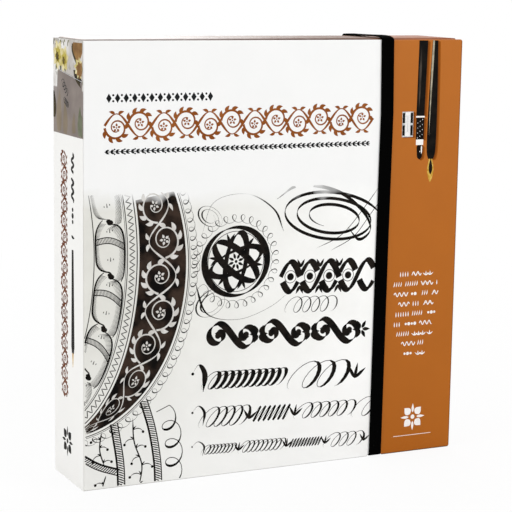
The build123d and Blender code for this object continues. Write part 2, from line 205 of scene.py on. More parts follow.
def put_piece(
    name, points, faces, materials, body, which=None, replaces=(), merge=True, smooth=True
):
    """Make a piece from points in mm and a list of faces, finish it and tell the frame about it."""
    mesh = bpy.data.meshes.new(name)
    mesh.from_pydata((np.asarray(points).reshape(-1, 3) * MM).tolist(), [], [list(f) for f in faces])
    if merge:
        work = bmesh.new()
        work.from_mesh(mesh)
        bmesh.ops.remove_doubles(work, verts=work.verts, dist=1e-7)
        bmesh.ops.recalc_face_normals(work, faces=work.faces)
        work.to_mesh(mesh)
        work.free()
    for one in materials:
        mesh.materials.append(one)
    if which is not None:
        mesh.polygons.foreach_set("material_index", which)
    mesh.polygons.foreach_set("use_smooth", np.full(len(mesh.polygons), smooth))
    mesh.set_sharp_from_angle(angle=SHARP_ANGLE)
    piece = bpy.data.objects.new(name, mesh)
    bpy.context.collection.objects.link(piece)
    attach(piece, body)
    if replaces:
        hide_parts(*replaces)
    print(f"{name}: {len(mesh.polygons)} faces")
    return piece


# %% [markdown]
# ## Printed paper over board
# The covers are wrapped in art paper, printed by offset and sealed with a water-based coating. The
# coat is smooth but the paper under it isn't, so the gloss is soft and breaks up over a scale of a
# millimetre or two. White and copper areas are ink on the same sheet, so one material holds both,
# split where the print changes colour. The alternative, one material per area, would show a seam.
# Below the title the sheet is printed as old paper, yellower towards the spine.

# %% Paper surface shared by all sheets
CLOUDY = (0.3, 0.7)  # span over which a noise crosses from one tone to the other


def papered(name, fixed, rough=0.40, tooth=0.012):
    """Start a paper finish: fibre tooth as a bump of `tooth` mm, and a slow cloud that moves the gloss.
    Real fibres are a tenth of a millimetre apart. Here they are about one apart, so that they show."""
    made, tree, inputs, place = begin(name, fixed)
    fibres = add(tree, "ShaderNodeTexNoise", {"Vector": place, "Scale": 900.0, "Detail": 4.0})
    cloud = add(tree, "ShaderNodeTexNoise", {"Vector": place, "Scale": 45.0, "Detail": 3.0}).outputs["Fac"]
    relief = {"Height": fibres.outputs["Fac"], "Strength": 0.35, "Distance": tooth * MM}
    tree.links.new(add(tree, "ShaderNodeBump", relief).outputs["Normal"], inputs["Normal"])
    gloss = {"Value": cloud, "To Min": rough - 0.05, "To Max": rough + 0.07}
    tree.links.new(add(tree, "ShaderNodeMapRange", gloss).outputs["Result"], inputs["Roughness"])
    return made, tree, inputs, place, cloud


# %% Printed cover paper
STRIP_EDGE = BAND_X + 0.2  # where white meets copper, under the band
ART_TOP = 176.0
WHITE_PAPER = "#f6f6f5"
COPPER_TOP = "#b6681e"
COPPER_FOOT = "#ad5f05"


def print_paper(name, art=True):
    """White paper with a copper strip at the fore edge and, below ART_TOP, an aged paper tone."""
    made, tree, inputs, place, cloud = papered(name, {"Specular IOR Level": 0.2})
    x, _, z = in_mm(tree, place)
    copper = shade(tree, z, 0, HEIGHT, COPPER_FOOT, COPPER_TOP)
    copper = shade(tree, cloud, *CLOUDY, copper, "#8f4c0c", (0, 0.10))
    # A dark line just inside the fore edge of the copper: painted shade where the paper turns over the
    # board's edge.
    copper = shade(tree, x, FORE - 1.0, FORE - 0.4, copper, "#552c08", (0, 0.7))
    white = shade(tree, cloud, *CLOUDY, WHITE_PAPER, "#f0f1f0", (0, 0.35))
    if art:
        blots = {"Vector": place, "Scale": 22.0, "Detail": 5.0, "Roughness": 0.6}
        stain = add(tree, "ShaderNodeTexNoise", blots).outputs["Fac"]
        pale = shade(tree, x, -120, 50, "#e4e3dc", "#fbfbf9")
        dull = shade(tree, x, -120, 50, "#dad9d2", "#f3f3f0")
        aged = shade(tree, stain, 0.4, 0.7, pale, dull)
        aged = shade(tree, z, 10, 100, aged, "#ffffff", (0.4, 0))
        edge = add(tree, "ShaderNodeMath", {0: stain, 1: 30.0, 2: z}, operation="MULTIPLY_ADD")
        white = shade(tree, edge.outputs[0], ART_TOP + 6, ART_TOP + 18, white, aged, (1, 0))
    # The foot edge is darkened: painted contact shadow where the boards stand on the floor, dark brown
    # under the copper and grey under the white.
    copper = shade(tree, z, 0.3, 0.9, copper, "#3b2209", (1, 0))
    white = shade(tree, z, 0.15, 0.55, white, "#5d5348", (0.6, 0))
    colour = shade(tree, x, STRIP_EDGE - 0.05, STRIP_EDGE + 0.05, white, copper)
    tree.links.new(colour, inputs["Base Color"])
    return made


cover_paper = print_paper("offset_printed_art_paper")
back_paper = print_paper("offset_printed_art_paper_back", art=False)
print("cover paper: white to copper at x", round(STRIP_EDGE, 1))


# %% [markdown]
# ## Boards with soft edges
# A wrapped board has no sharp edge: the paper turns over greyboard with a radius of about half a
# millimetre, and the outer corners, mitred by hand, end up rounder. A cube with a bevel would do for
# one radius. Here the board is two grids whose height falls away near the border as a quarter circle,
# and whose corners are pulled from square to round, so both radii are free and the band can press a
# dent into the foot.

# %% Board function
def marks(low, high, edge, corner, step, fine):
    """Grid lines: close together in the rounded border, `step` apart inside, finer at each `fine`."""
    round_part = edge * (1 - np.cos(np.linspace(0, np.pi / 2, 5)))
    border = np.concatenate([round_part, np.linspace(edge, corner, 5)[1:]])
    inside = np.linspace(low + corner, high - corner, max(2, int((high - low) / step)))
    lines = [low + border, high - border, inside]
    for middle, half, spacing in fine:
        lines.append(np.arange(middle - half, middle + half + spacing / 2, spacing))
    return np.unique(np.round(np.clip(np.concatenate(lines), low, high), 3))


def board(low, high, thin, edges=(0.45, 0.45), corners=(0.5, 1.5), step=14.0, fine=((), ()), shift=None):
    """Points and faces of a closed rounded board between two corners, `thin` being its thin axis.

    With a, b = 1 at the border and 0 a corner radius R inside it, the square corner goes to a round
    one as a' = a·sqrt(1 − b²/2) and b' = b·sqrt(1 − a²/2). The depth inside the border is then
    d = R·(1 − hypot(a', b')), and each face drops by e − sqrt(e² − (e − d)²) where d < e.
    """
    wide, tall = [axis for axis in range(3) if axis != thin]
    edge, corner = max(edges), max(corners)
    sides = enumerate((wide, tall))
    lines = [marks(low[axis], high[axis], edge, corner, step, fine[k]) for k, axis in sides]
    a, b = np.meshgrid(*lines, indexing="ij")
    middle = [(low[axis] + high[axis]) / 2 for axis in (wide, tall)]
    radius = np.where(a < middle[0], corners[0], corners[1])
    flat, signs = [a, b], [np.sign(a - middle[0]), np.sign(b - middle[1])]
    halves = [(high[axis] - low[axis]) / 2 for axis in (wide, tall)]
    out = [np.clip(1 - (halves[k] - np.abs(flat[k] - middle[k])) / radius, 0, 1) for k in (0, 1)]
    bent = [out[0] * np.sqrt(1 - out[1] ** 2 / 2), out[1] * np.sqrt(1 - out[0] ** 2 / 2)]
    places = []
    for k in (0, 1):
        moved = middle[k] + signs[k] * (halves[k] - radius * (1 - bent[k]))
        places.append(np.where(out[k] > 0, moved, flat[k]))
    depth = radius * (1 - np.hypot(*bent))
    sheets = []
    for sign, e, level_at in ((1, edges[0], low[thin]), (-1, edges[1], high[thin])):
        drop = e - np.sqrt(np.maximum(e**2 - (e - np.minimum(depth, e)) ** 2, 0))
        sheet = np.empty(a.shape + (3,))
        sheet[..., wide], sheet[..., tall] = places
        sheet[..., thin] = level_at + sign * drop
        sheets.append(shift(sheet) if shift else sheet)
    rows, columns = a.shape
    count = rows * columns
    number = np.arange(count).reshape(rows, columns)
    border = np.concatenate([number[:-1, 0], number[-1, :-1], number[:0:-1, -1], number[0, :0:-1]])
    after = np.roll(border, -1)
    side = np.stack([border, after, after + count, border + count], -1)
    faces = np.vstack([grid_faces(rows, columns), grid_faces(rows, columns, start=count), side])
    return np.concatenate([s.reshape(-1, 3) for s in sheets]), faces


FOOT_LEAN = -1.1  # how far the band stands to the left at the foot of the front
DENT_DEPTH = 1.45
DENT_REACH = 9.0  # height at which the dent has died out
DENT_HALF_WIDTH = (band_high[0] - band_low[0]) / 2 + 0.6


def foot_dent(sheet):
    """The band presses the boards' foot up under it: z rises by a bell in x that dies out upwards.

    The bell is exp(−((x − c)/w)¹⁴), and its middle c follows the band, which leans left in front.
    """
    lean = FOOT_LEAN * np.clip((10 - sheet[..., 1]) / 30, 0, 1)
    bell = np.exp(-(((sheet[..., 0] - BAND_X - lean) / DENT_HALF_WIDTH) ** 14))
    fade = np.clip(1 - sheet[..., 2] / DENT_REACH, 0, 1) ** 2
    sheet[..., 2] += DENT_DEPTH * bell * fade
    return sheet


# %% Covers
near_band = ((BAND_X, 9.0, 0.3),)
for name, paper, body, corners in (
    ("front_cover", cover_paper, "cover", (cover_low, cover_high)),
    ("back_cover", back_paper, "box", (back_low, back_high)),
):
    points, faces = board(*corners, 1, fine=(near_band, ()), shift=foot_dent)
    put_piece(f"{name}_board", points, faces, [paper], body, replaces=[name])

# %% [markdown]
# ## Spine
# The wrap goes round the spine in one sheet, with a picture block at its head. The block is a soft,
# out-of-focus still life in cream, olive and mauve, which a noise with few octaves gives.

# %% Spine wrap
PICTURE_FOOT = 210.3  # the picture block reaches from here to the top of the spine


def spine_paper():
    """White paper whose head holds a blurred picture ground."""
    name = "offset_printed_spine_paper"
    made, tree, inputs, place, cloud = papered(name, {"Specular IOR Level": 0.35})
    z = in_mm(tree, place)[2]
    white = shade(tree, cloud, *CLOUDY, "#f4f3f0", "#eeeeeb", (0, 0.35))
    ground = mottle(tree, place, 60.0, 1.5, (0.40, 0.62), "#b9b3ad", "#e9e7e4")
    ground = mottle(tree, place, 210.0, 3.0, (0.56, 0.64), ground, "#6e6a4c", (0, 0.45))
    ground = shade(tree, z, 237.2, 238.0, "#857b76", ground)
    colour = shade(tree, z, PICTURE_FOOT - 0.1, PICTURE_FOOT + 0.1, white, ground)
    tree.links.new(colour, inputs["Base Color"])
    return made


points, faces = board(spine_low, spine_high, 0, edges=(0.36, 0.03), corners=(0.4, 0.4), step=10.0)
wrap = [spine_paper()]
put_piece("spine_wrap_sheet", points, faces, wrap, "box", replaces=["spine_wrap"])

# %% [markdown]
# ## Tray
# The tray is four walls and a floor of thin board, wrapped as one, so its outer corners are round and
# unbroken. It is a stack of rounded rectangles: out over the floor's back, up the outside, over the
# rim and down the inside, each ring having the same number of points so that the rings make a grid.

# %% Tray function
def rounded_ring(x, z, radius, y, per_corner=7):
    """Points of a rounded rectangle in the XZ plane at depth y: a quarter arc at each corner."""
    turn = np.linspace(0, np.pi / 2, per_corner)
    centres = [(x[1] - radius, z[1] - radius), (x[0] + radius, z[1] - radius)]
    centres += [(x[0] + radius, z[0] + radius), (x[1] - radius, z[0] + radius)]
    angle = np.concatenate([turn + k * np.pi / 2 for k in range(4)])
    middle = np.repeat(np.array(centres), per_corner, axis=0)
    ring = middle + polar(angle, radius)
    return line_of(ring[:, 0], y, ring[:, 1])


def tray_shell():
    """Rings (inset from the outside, depth y, corner radius), carried from the back to the floor."""
    x, z = (tray_low[0], tray_high[0]), (tray_low[2], tray_high[2])
    wall = reach("tray_wall_top")[1][2] - reach("tray_wall_top")[0][2]
    rim, floor, rear = tray_low[1], reach("tray_floor")[0][1], tray_high[1]
    soft = 0.5  # radius of the rim
    rings = [(30.0, rear, 0.5), (soft, rear, 0.9), (0.0, rear - soft, 1.2), (0.0, rim + soft, 1.2)]
    turn = np.linspace(0, np.pi, 7)[1:-1]
    rings += [(wall / 2 - wall / 2 * np.cos(t), rim + soft - soft * np.sin(t), 0.8) for t in turn]
    rings += [(wall, rim + soft, 0.5), (wall, floor - 0.4, 0.5)]
    rings += [(wall + 0.4, floor, 0.5), (30.0, floor, 0.5)]
    loops = [
        rounded_ring((x[0] + inset, x[1] - inset), (z[0] + inset, z[1] - inset), radius, y)
        for inset, y, radius in rings
    ]
    count = len(loops[0])
    faces = grid_faces(len(loops), count, around=True).tolist()
    faces += [list(range(count))[::-1], list(range((len(loops) - 1) * count, len(loops) * count))]
    return np.concatenate(loops), faces


# %% Tray paper
def tray_paper():
    """Copper paper inside and out. Along its top the colour is painted for the raking light: grey by the
    spine, a painted reflection of the white surround, then dark brown, the paper's own brown with painted
    shade, and warmer towards the fore edge. The top is glossier by the spine and dulled by fingers towards
    the fore edge. The outer edges are rubbed pale."""
    fixed = {"Specular IOR Level": 0.45}
    made, tree, inputs, place, cloud = papered("copper_wrap_paper", fixed, rough=0.30, tooth=0.006)
    x, _, z = in_mm(tree, place)
    dulled = {"Value": x, "From Min": -70, "From Max": 50, "To Max": 0.30}
    dulled = add(tree, "ShaderNodeMapRange", dulled).outputs["Result"]
    gloss = inputs["Roughness"].links[0].from_socket
    rough = add(tree, "ShaderNodeMath", {0: dulled, 1: gloss}, operation="ADD")
    tree.links.new(rough.outputs[0], inputs["Roughness"])
    copper = shade(tree, cloud, *CLOUDY, "#b4682e", "#a65c27")
    # Painted light on the top: the grey by the spine is a painted reflection of the white surround, and
    # the dark brown is painted shade over the paper's brown.
    top = shade(tree, x, -110, 0, "#8f8989", "#452214")
    top = shade(tree, x, 60, 90, top, "#8a4312")
    copper = shade(tree, z, HEIGHT - 0.3, HEIGHT + 0.1, copper, top)
    worn = add(tree, "ShaderNodeNewGeometry").outputs["Pointiness"]
    colour = shade(tree, worn, 0.53, 0.60, copper, "#d7a67e", (0, 0.35))
    tree.links.new(colour, inputs["Base Color"])
    return made


points, faces = tray_shell()
tray_nodes = ["tray_floor"] + [f"tray_wall_{side}" for side in ("top", "bottom", "spine", "fore")]
put_piece("tray_shell", points, faces, [tray_paper()], "box", replaces=tray_nodes)

# %% [markdown]
# ## Elastic band
# Flat elastic is woven: rubber cords run its length under polyester weft. The cords show as ribs just
# over a millimetre apart, and the weft as fine lines across them. The section is carried along a path
# in the YZ plane: out of the slot in the back cover, over the tray's top, where the tension lifts it
# into a shallow arch, down the front, under the foot and back into the lower slot. It leans a
# millimetre off straight on the front, as a band pulled over by hand does.

# %% Band path and section
def through(points, per_span=12):
    """Catmull-Rom curve through points: between b and c with neighbours a and d,
    (2b + (c − a)t + (2a − 5b + 4c − d)t² + (3b − a − 3c + d)t³) / 2."""
    p = np.asarray(points, float)
    p = np.vstack([2 * p[0] - p[1], p, 2 * p[-1] - p[-2]])
    a, b, c, d = p[:-3], p[1:-2], p[2:-1], p[3:]
    t = np.linspace(0, 1, per_span, endpoint=False)[:, None, None]
    curve = 2 * b + (c - a) * t + (2 * a - 5 * b + 4 * c - d) * t**2
    curve = (curve + (3 * b - a - 3 * c + d) * t**3) / 2
    return np.vstack([curve.transpose(1, 0, 2).reshape(-1, p.shape[1]), p[-2]])


def way_of(points):
    """Distance run along a line of points, at each point."""
    steps = np.diff(np.asarray(points, float), axis=0)
    return np.concatenate([[0], np.cumsum(np.hypot(*steps.T))])


def even(points, step=0.7):
    """The same line with points at even distances of at most `step`."""
    points = np.asarray(points, float)
    way = way_of(points)
    stops = np.linspace(0, way[-1], max(3, int(np.ceil(way[-1] / step)) + 1))
    return np.column_stack([np.interp(stops, way, points[:, k]) for k in (0, 1)])


BAND_WIDTH = band_high[0] - band_low[0]
BAND_THICK = 1.0
RIB_PITCH = 1.25
half = BAND_THICK / 2
front_line, back_line = band_low[1] + half, band_high[1] - half
foot_line, top_line = band_low[2] + half, band_high[2] - half
slot_foot = np.mean([corner[2] for corner in reach("elastic_clip_bottom")])
slot_head = np.mean([corner[2] for corner in reach("elastic_clip_top")])
inner_end = back_low[1] + 0.1


def arc(y, z, radius, start, end, count=7):
    """Points of an arc in the YZ plane, about (y, z), from one angle to another in degrees."""
    return [y, z] + polar(np.radians(np.linspace(start, end, count)), radius)


BEND = 1.0  # radius of the band's middle line where it turns round an edge
crown = [(back_line - BEND - 1, 0), (12, 0.1), (-2, 0.35), (-13, 0.6), (-20, 0.45)]
crown = np.array(crown + [(front_line + 2.6, -0.1), (front_line + 1.0, -0.6)]) + [0, top_line]
route_parts = [
    [(inner_end, slot_head)],
    arc(back_line - BEND, slot_head + BEND, BEND, -90, 0),
    arc(back_line - BEND, top_line - BEND, BEND, 0, 90),
    through(crown),
    arc(front_line + BEND, top_line - 1.8, BEND, 125, 180, 5),
    arc(front_line + BEND, foot_line + BEND, BEND, 180, 270),
    arc(back_line - BEND, foot_line + BEND, BEND, -90, 0),
    arc(back_line - BEND, slot_foot - BEND, BEND, 0, 90),
    [(inner_end, slot_foot)],
]
band_route = np.vstack(route_parts)


def band_lean(y, z):
    """Sideways lean of the band's middle line: on the front it wanders, at the back it runs true."""
    wander = np.interp(z, [0, 135, 221, 264], [FOOT_LEAN, 0.1, 1.2, 0.4])
    return wander * np.clip((10 - y) / 30, 0, 1) + 0.9 * np.clip((y + 20) / 40, 0, 1) * (z > 200)


def band_section(across):
    """Half section: thickness 0.5·(1 − |x/w|^10)^0.5, less a cosine rib every RIB_PITCH."""
    bulge = np.sqrt(np.maximum(1 - np.abs(across / (BAND_WIDTH / 2)) ** 10, 0))
    rib = 0.05 * (1 - np.cos(2 * np.pi * across / RIB_PITCH))
    return bulge * (half - rib)


# %% Band mesh
line = even(band_route, step=0.8)
tangent = np.gradient(line, axis=0)
tangent /= np.linalg.norm(tangent, axis=1, keepdims=True)
outward = np.column_stack([tangent[:, 1], -tangent[:, 0]])
way_along = way_of(line)
across = BAND_WIDTH / 2 * np.sin(np.linspace(-np.pi / 2, np.pi / 2, 61))
lift = band_section(across)
ring_x = np.concatenate([across, across[-2:0:-1]])
ring_n = np.concatenate([lift, -lift[-2:0:-1]])
middle_x = BAND_X + band_lean(line[:, 0], line[:, 1])
points = np.empty((len(line), len(ring_x), 3))
points[..., 0] = middle_x[:, None] + ring_x
points[..., 1] = line[:, :1] + outward[:, :1] * ring_n
points[..., 2] = line[:, 1:] + outward[:, 1:] * ring_n
faces = grid_faces(len(line), len(ring_x), around=True)
rim_a = list(range(len(ring_x)))
rim_b = [(len(line) - 1) * len(ring_x) + k for k in rim_a]
print(f"band: {way_along[-1]:.0f} mm long, {BAND_WIDTH:.1f} mm wide, {BAND_WIDTH / RIB_PITCH:.0f} ribs")


# %% Band material
WEFT_PITCH = 0.9  # real weft is about 0.4 mm apart, drawn coarser so that it shows


def woven_elastic():
    """Black polyester weft over rubber: matt, with a soft nap. The weft lines follow the path (UV), and
    their wave sin(2π·way/pitch + 0.9·cos(rib)) runs aslant over each rib."""
    fixed = {"Roughness": 0.9, "Specular IOR Level": 0.01}
    made, tree, inputs, place = begin("woven_polyester_elastic", fixed)
    where = add(tree, "ShaderNodeUVMap", uv_map="way")
    way, side, _ = add(tree, "ShaderNodeSeparateXYZ", {"Vector": where.outputs["UV"]}).outputs
    rib = add(tree, "ShaderNodeMath", {0: side, 1: 2 * np.pi / RIB_PITCH}, operation="MULTIPLY")
    rib_wave = add(tree, "ShaderNodeMath", {0: rib.outputs[0]}, operation="COSINE")
    skew = add(tree, "ShaderNodeMath", {0: rib_wave.outputs[0], 1: 0.9}, operation="MULTIPLY")
    turn = {0: way, 1: 2 * np.pi / WEFT_PITCH, 2: skew.outputs[0]}
    turn = add(tree, "ShaderNodeMath", turn, operation="MULTIPLY_ADD")
    weft = add(tree, "ShaderNodeMath", {0: turn.outputs[0]}, operation="SINE").outputs[0]
    fuzz = add(tree, "ShaderNodeTexNoise", {"Vector": place, "Scale": 1500.0, "Detail": 2.0})
    height = {0: weft, 1: 0.4, 2: fuzz.outputs["Fac"]}
    height = add(tree, "ShaderNodeMath", height, operation="MULTIPLY_ADD")
    relief = {"Height": height.outputs[0], "Strength": 0.8, "Distance": 0.06 * MM}
    tree.links.new(add(tree, "ShaderNodeBump", relief).outputs["Normal"], inputs["Normal"])
    tree.links.new(shade(tree, weft, -1, 1, "#010101", "#060606"), inputs["Base Color"])
    return made


band = put_piece(
    "elastic_strap",
    points,
    faces.tolist() + [rim_a, rim_b[::-1]],
    [woven_elastic()],
    "box",
    replaces=["elastic_band"],
)
corner = np.empty(len(band.data.loops), np.int32)
band.data.loops.foreach_get("vertex_index", corner)
way_map = np.column_stack([np.repeat(way_along, len(ring_x)), np.tile(ring_x, len(line))])
uv_layer = band.data.uv_layers.new(name="way")
uv_layer.data.foreach_set("uv", way_map[corner].astype(np.float32).ravel())
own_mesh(band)

# %% [markdown]
# ## Print as pen strokes
# What is printed on the case looks like pen work: lines that swell and thin. A texture would blur
# when seen close, so each line is a thin closed ribbon of ink, a few hundredths of a millimetre
# proud of the paper. A stroke is a line of stations, each with a place (u, v) on the sheet and a
# width. Two pens give the widths. A broad-edged nib is widest across its edge, so the width follows
# the sine of the angle between travel and nib. A pointed nib opens on strokes down the page.

# %% Pens
def stroke(points, width):
    """Stations of a stroke: columns u, v and width, all in mm."""
    points = np.asarray(points, float)
    return np.column_stack([points, np.broadcast_to(width, len(points))])


def heading(points):
    """Direction of travel along a line, as an angle."""
    step = np.gradient(points, axis=0)
    return np.arctan2(step[:, 1], step[:, 0])


def broad(points, nib, thin, angle=40.0):
    """Broad-edged nib: width = thin + nib·|sin(heading − nib angle)|."""
    points = even(points)
    return stroke(points, thin + nib * np.abs(np.sin(heading(points) - np.radians(angle))))


def flexed(points, swell, thin=0.16):
    """Pointed nib: width = thin + swell·(share of travel that goes down the page)^1.5."""
    points = even(points)
    return stroke(points, thin + swell * np.clip(-np.sin(heading(points)), 0, 1) ** 1.5)


def flicked(line, ends=0.12):
    """The same stroke, thinned over a share of its length at both ends."""
    t = np.linspace(0, 1, len(line))
    line = line.copy()
    line[:, 2] *= np.clip(np.minimum(t, 1 - t) / ends, 0.12, 1)
    return line


def kept(line, keep):
    """The runs of a stroke where keep is true, as strokes of their own."""
    cuts = np.flatnonzero(np.diff(keep.astype(int))) + 1
    parts = zip(np.split(line, cuts), np.split(keep, cuts))
    return [part for part, good in parts if good[0] and len(part) > 1]


def bend(base, strokes):
    """Lay strokes drawn along a straight line (s, d) on the line `base`: s along it, d to its left."""
    base = even(base, 0.5)
    way = way_of(base)
    turn = np.gradient(base, axis=0)
    turn /= np.linalg.norm(turn, axis=1, keepdims=True)
    laid = []
    for line in strokes:
        u, v, along_u, along_v = (np.interp(line[:, 0], way, c) for c in (*base.T, *turn.T))
        off = line[:, 1]
        laid.append(line_of(u - along_v * off, v + along_u * off, line[:, 2]))
    return laid


def span(points):
    """Length of a line of points."""
    return float(way_of(points)[-1])


def moved(strokes, u=0.0, v=0.0, turn=0.0):
    """Strokes turned by an angle in degrees and shifted."""
    c, s = np.cos(np.radians(turn)), np.sin(np.radians(turn))
    return [line @ np.array([[c, s, 0], [-s, c, 0], [0, 0, 1]]) + [u, v, 0] for line in strokes]


# %% Ink ribbons
INK_STEP = 0.0015  # one stroke over the next, so that lines that cross share no plane
INK_CREEP = 0.00003  # one station over the next, for a stroke that crosses itself


def ribbons(strokes, place, window, rise, sink=0.03):
    """Closed ribbons. Each station has four corners, half a width to the left and right and at two
    heights, and follows the next one with four quads. The window (u, v limits) crops the print."""
    low, high = np.array(window).T
    cropped = []
    for line in strokes:
        cropped += kept(line, ((line[:, :2] > low) & (line[:, :2] < high)).all(axis=1))
    stations = np.vstack(cropped)
    turn = np.vstack([np.gradient(line[:, :2], axis=0) for line in cropped])
    turn /= np.maximum(np.linalg.norm(turn, axis=1, keepdims=True), 1e-9)
    off = np.column_stack([-turn[:, 1], turn[:, 0]]) * np.maximum(stations[:, 2:], 0.05) / 2
    left_side, right_side = stations[:, :2] + off, stations[:, :2] - off
    flat = np.clip(np.stack([left_side, left_side, right_side, right_side], 1), low, high)
    counts = [len(line) for line in cropped]
    top = rise + INK_STEP * np.repeat(np.arange(len(cropped)) % 8, counts)
    top += INK_CREEP * np.concatenate([np.arange(count) for count in counts])
    foot = np.full(len(top), -sink)
    points = place(flat[..., 0], flat[..., 1], np.stack([foot, top, top, foot], 1))
    ends = np.cumsum(counts) - 1
    starts = np.concatenate([[0], ends[:-1] + 1])
    first = 4 * np.setdiff1d(np.arange(len(stations)), ends)
    faces = []
    for i, j in enumerate((1, 2, 3, 0)):
        faces.append(np.stack([first + i, first + j, first + 4 + j, first + 4 + i], -1))
    faces += [4 * starts[:, None] + [3, 2, 1, 0], 4 * ends[:, None] + [0, 1, 2, 3]]
    return points.reshape(-1, 3), np.vstack(faces)


def put_print(name, body, place, window, layers):
    """One printed piece from layers of (strokes, ink, height above the paper)."""
    points, faces, which, count = [], [], [], 0
    for k, (strokes, _, rise) in enumerate(layers):
        some, quads = ribbons(strokes, place, window, rise)
        points.append(some)
        faces.append(quads + count)
        which.append(np.full(len(quads), k))
        count += len(some)
    inks = [ink for _, ink, _ in layers]
    points, faces, which = (np.concatenate(parts) for parts in (points, faces, which))
    put_piece(name, points, faces, inks, body, which=which, merge=False, smooth=False)


def on_front(u, v, h):
    """Front cover: u along +X, v up, h towards the viewer of that face."""
    return np.stack(np.broadcast_arrays(u, FRONT - h, v), -1)


def on_spine(u, v, h):
    """Spine: u towards the front cover, v up."""
    return np.stack(np.broadcast_arrays(SPINE - h, -u, v), -1)


def on_back(u, v, h):
    """Back cover: u along −X, v up."""
    return np.stack(np.broadcast_arrays(-u, BACK + h, v), -1)


# %% [markdown]
# ## Ornament alphabet
# The print is built from stock figures that pen masters have drilled for centuries: leaves, beads,
# spirals, ropes, chains, scallops, plaits and scrolls. Each is drawn along a straight line and then
# bent to its place, so a border can follow any curve.

# %% Small figures
def leaf(u, v, aim, length, width, curl=0.0):
    """Leaf: a line that turns by `curl` on its way, as wide as sin(π·t^0.75)."""
    t = np.linspace(0, 1, 9)
    step = length / 8 * polar(aim + curl * t)
    line = np.array([u, v]) + np.cumsum(step, axis=0) - step[0]
    return stroke(line, 0.05 + width * np.sin(np.pi * t**0.75))


def leaf_ring(u, v, aims, away, length, width):
    """Leaves that point out of a place, each starting a distance `away` from it."""
    return [leaf(u + away * np.cos(aim), v + away * np.sin(aim), aim, length, width) for aim in aims]


def bead(u, v, radius):
    """Disc: a short line as wide as the chord of a circle."""
    t = np.linspace(-1, 1, 9) * np.pi / 2
    line = line_of(u + radius * np.sin(t), v)
    return stroke(line, 0.02 + 2 * radius * np.cos(t))


def pair_of_beads(u, off, radius):
    """Two beads, above and below the line."""
    return [bead(u, side * off, radius) for side in (-1, 1)]


def blossom(u, v, radius, petals=5, turn=0.3):
    """Petals round a bead."""
    aims = turn + 2 * np.pi * np.arange(petals) / petals
    ring_of_petals = leaf_ring(u, v, aims, 0.32 * radius, 0.7 * radius, 2.4 * radius / petals)
    return ring_of_petals + [bead(u, v, 0.17 * radius)]


def spiral(u, v, outer, inner, start, turns, side=1):
    """Spiral line: the radius falls from outer to inner as t^0.8 while the angle turns evenly."""
    t = np.linspace(0, 1, int(40 * turns) + 8)
    radius = outer + (inner - outer) * t**0.8
    return [u, v] + polar(start + 2 * np.pi * turns * t, radius, side * radius)


def ring(u, v, radius, start=0.0, end=360.0):
    """Arc of a circle as a line of points, angles in degrees."""
    turn = np.linspace(start, end, max(12, int(abs(end - start) / 6)))
    return [u, v] + polar(np.radians(turn), radius)


def oval(u, v, wide, tall, tilt, turns, close=0.0):
    """Repeated ovals that shrink by a share `close` over the turns, leaning by `tilt` degrees."""
    t = np.linspace(0, turns, int(44 * turns))
    size = 1 - close * t / turns
    round_line = stroke(polar(2 * np.pi * t, wide * size, tall * size), 0)
    return moved([round_line], u, v, tilt)[0][:, :2]


# %% Borders along a line
def vine(length, half, stem, bays=None):
    """Scrolling vine: a sine stem, and in each of its bays a spiral branch with leaves and a blossom."""
    bays = bays or max(2, round(length / (1.3 * half)))
    bay_length = length / bays
    s = np.arange(0, length + 0.35, 0.7)
    wave = line_of(s, 0.62 * half * np.sin(np.pi * s / bay_length))
    lines = [stroke(wave, stem * (0.7 + 0.3 * np.cos(2 * np.pi * s / bay_length)))]
    for bay in range(bays):
        middle, side = (bay + 0.5) * bay_length, 1 - 2 * (bay % 2)
        heart = -0.12 * side * half
        path = even(spiral(middle, heart, bay_length / 2, 0.2 * half, np.pi, 1.3, side), 0.6)
        t = np.linspace(0, 1, len(path))
        lines.append(stroke(path, stem * (1.0 - 0.6 * t)))
        way = heading(path)
        for share in (0.06, 0.16, 0.27, 0.38, 0.50):
            k = int(share * len(path))
            lines.append(leaf(*path[k], way[k] - 0.95 * side, 0.42 * half, 0.21 * half, 0.9 * side))
        for lean in (-1, 1):
            foot, aim = middle + 0.10 * lean * half, side * (np.pi / 2 - 0.85 * lean)
            curl = -0.7 * lean * side
            lines.append(leaf(foot, 0.62 * side * half, aim, 0.36 * half, 0.16 * half, curl))
        lines += blossom(middle, heart, 0.24 * half)
    return lines


def rope(length, half, pitch, width):
    """Rope: slanting strokes, d = −half·cos(πt), each a little longer than the pitch."""
    t = np.linspace(0, 1, 8)
    lay = line_of(1.8 * pitch * t, -half * np.cos(np.pi * t))
    lay = stroke(lay, 0.1 + width * np.sin(np.pi * t))
    return [lay + [n * pitch, 0, 0] for n in range(int(length / pitch))]


def chain(length, half, pitch, width):
    """Loops: s = pitch·t − 0.45·pitch·sin(2πt), d = half·cos(2πt)."""
    t = np.linspace(0, length / pitch, int(16 * length / pitch))
    s = pitch * (t - 0.45 * np.sin(2 * np.pi * t))
    return [flexed(line_of(s, half * np.cos(2 * np.pi * t)), width)]


def rule(length, width, side=0.0):
    """Plain line beside the base."""
    s = np.arange(0, length + 0.5, 1.0)
    return [stroke(line_of(s, side), width)]


def scallops(length, radius, width):
    """Shells: a half ring, a finer ring inside it, hatched ribs and a bead between neighbours."""
    lines = []
    for n in range(int(length / (2 * radius))):
        s = (2 * n + 1) * radius
        lines.append(stroke(ring(s, 0, radius, 0, 180), width))
        lines.append(stroke(ring(s, 0, 0.78 * radius, 8, 172), 0.35 * width))
        for angle in np.radians(np.linspace(15, 165, 11)):
            rib = np.outer([0.34, 0.55, 0.74], [np.cos(angle), np.sin(angle)]) * radius
            lines.append(stroke([s, 0] + rib, [0.3, 0.22, 0.1]))
        lines.append(stroke(ring(s, 0, 0.26 * radius, 0, 180), 0.8 * width))
        lines.append(bead(s + radius, 0.45 * radius, 0.16 * radius))
    return lines


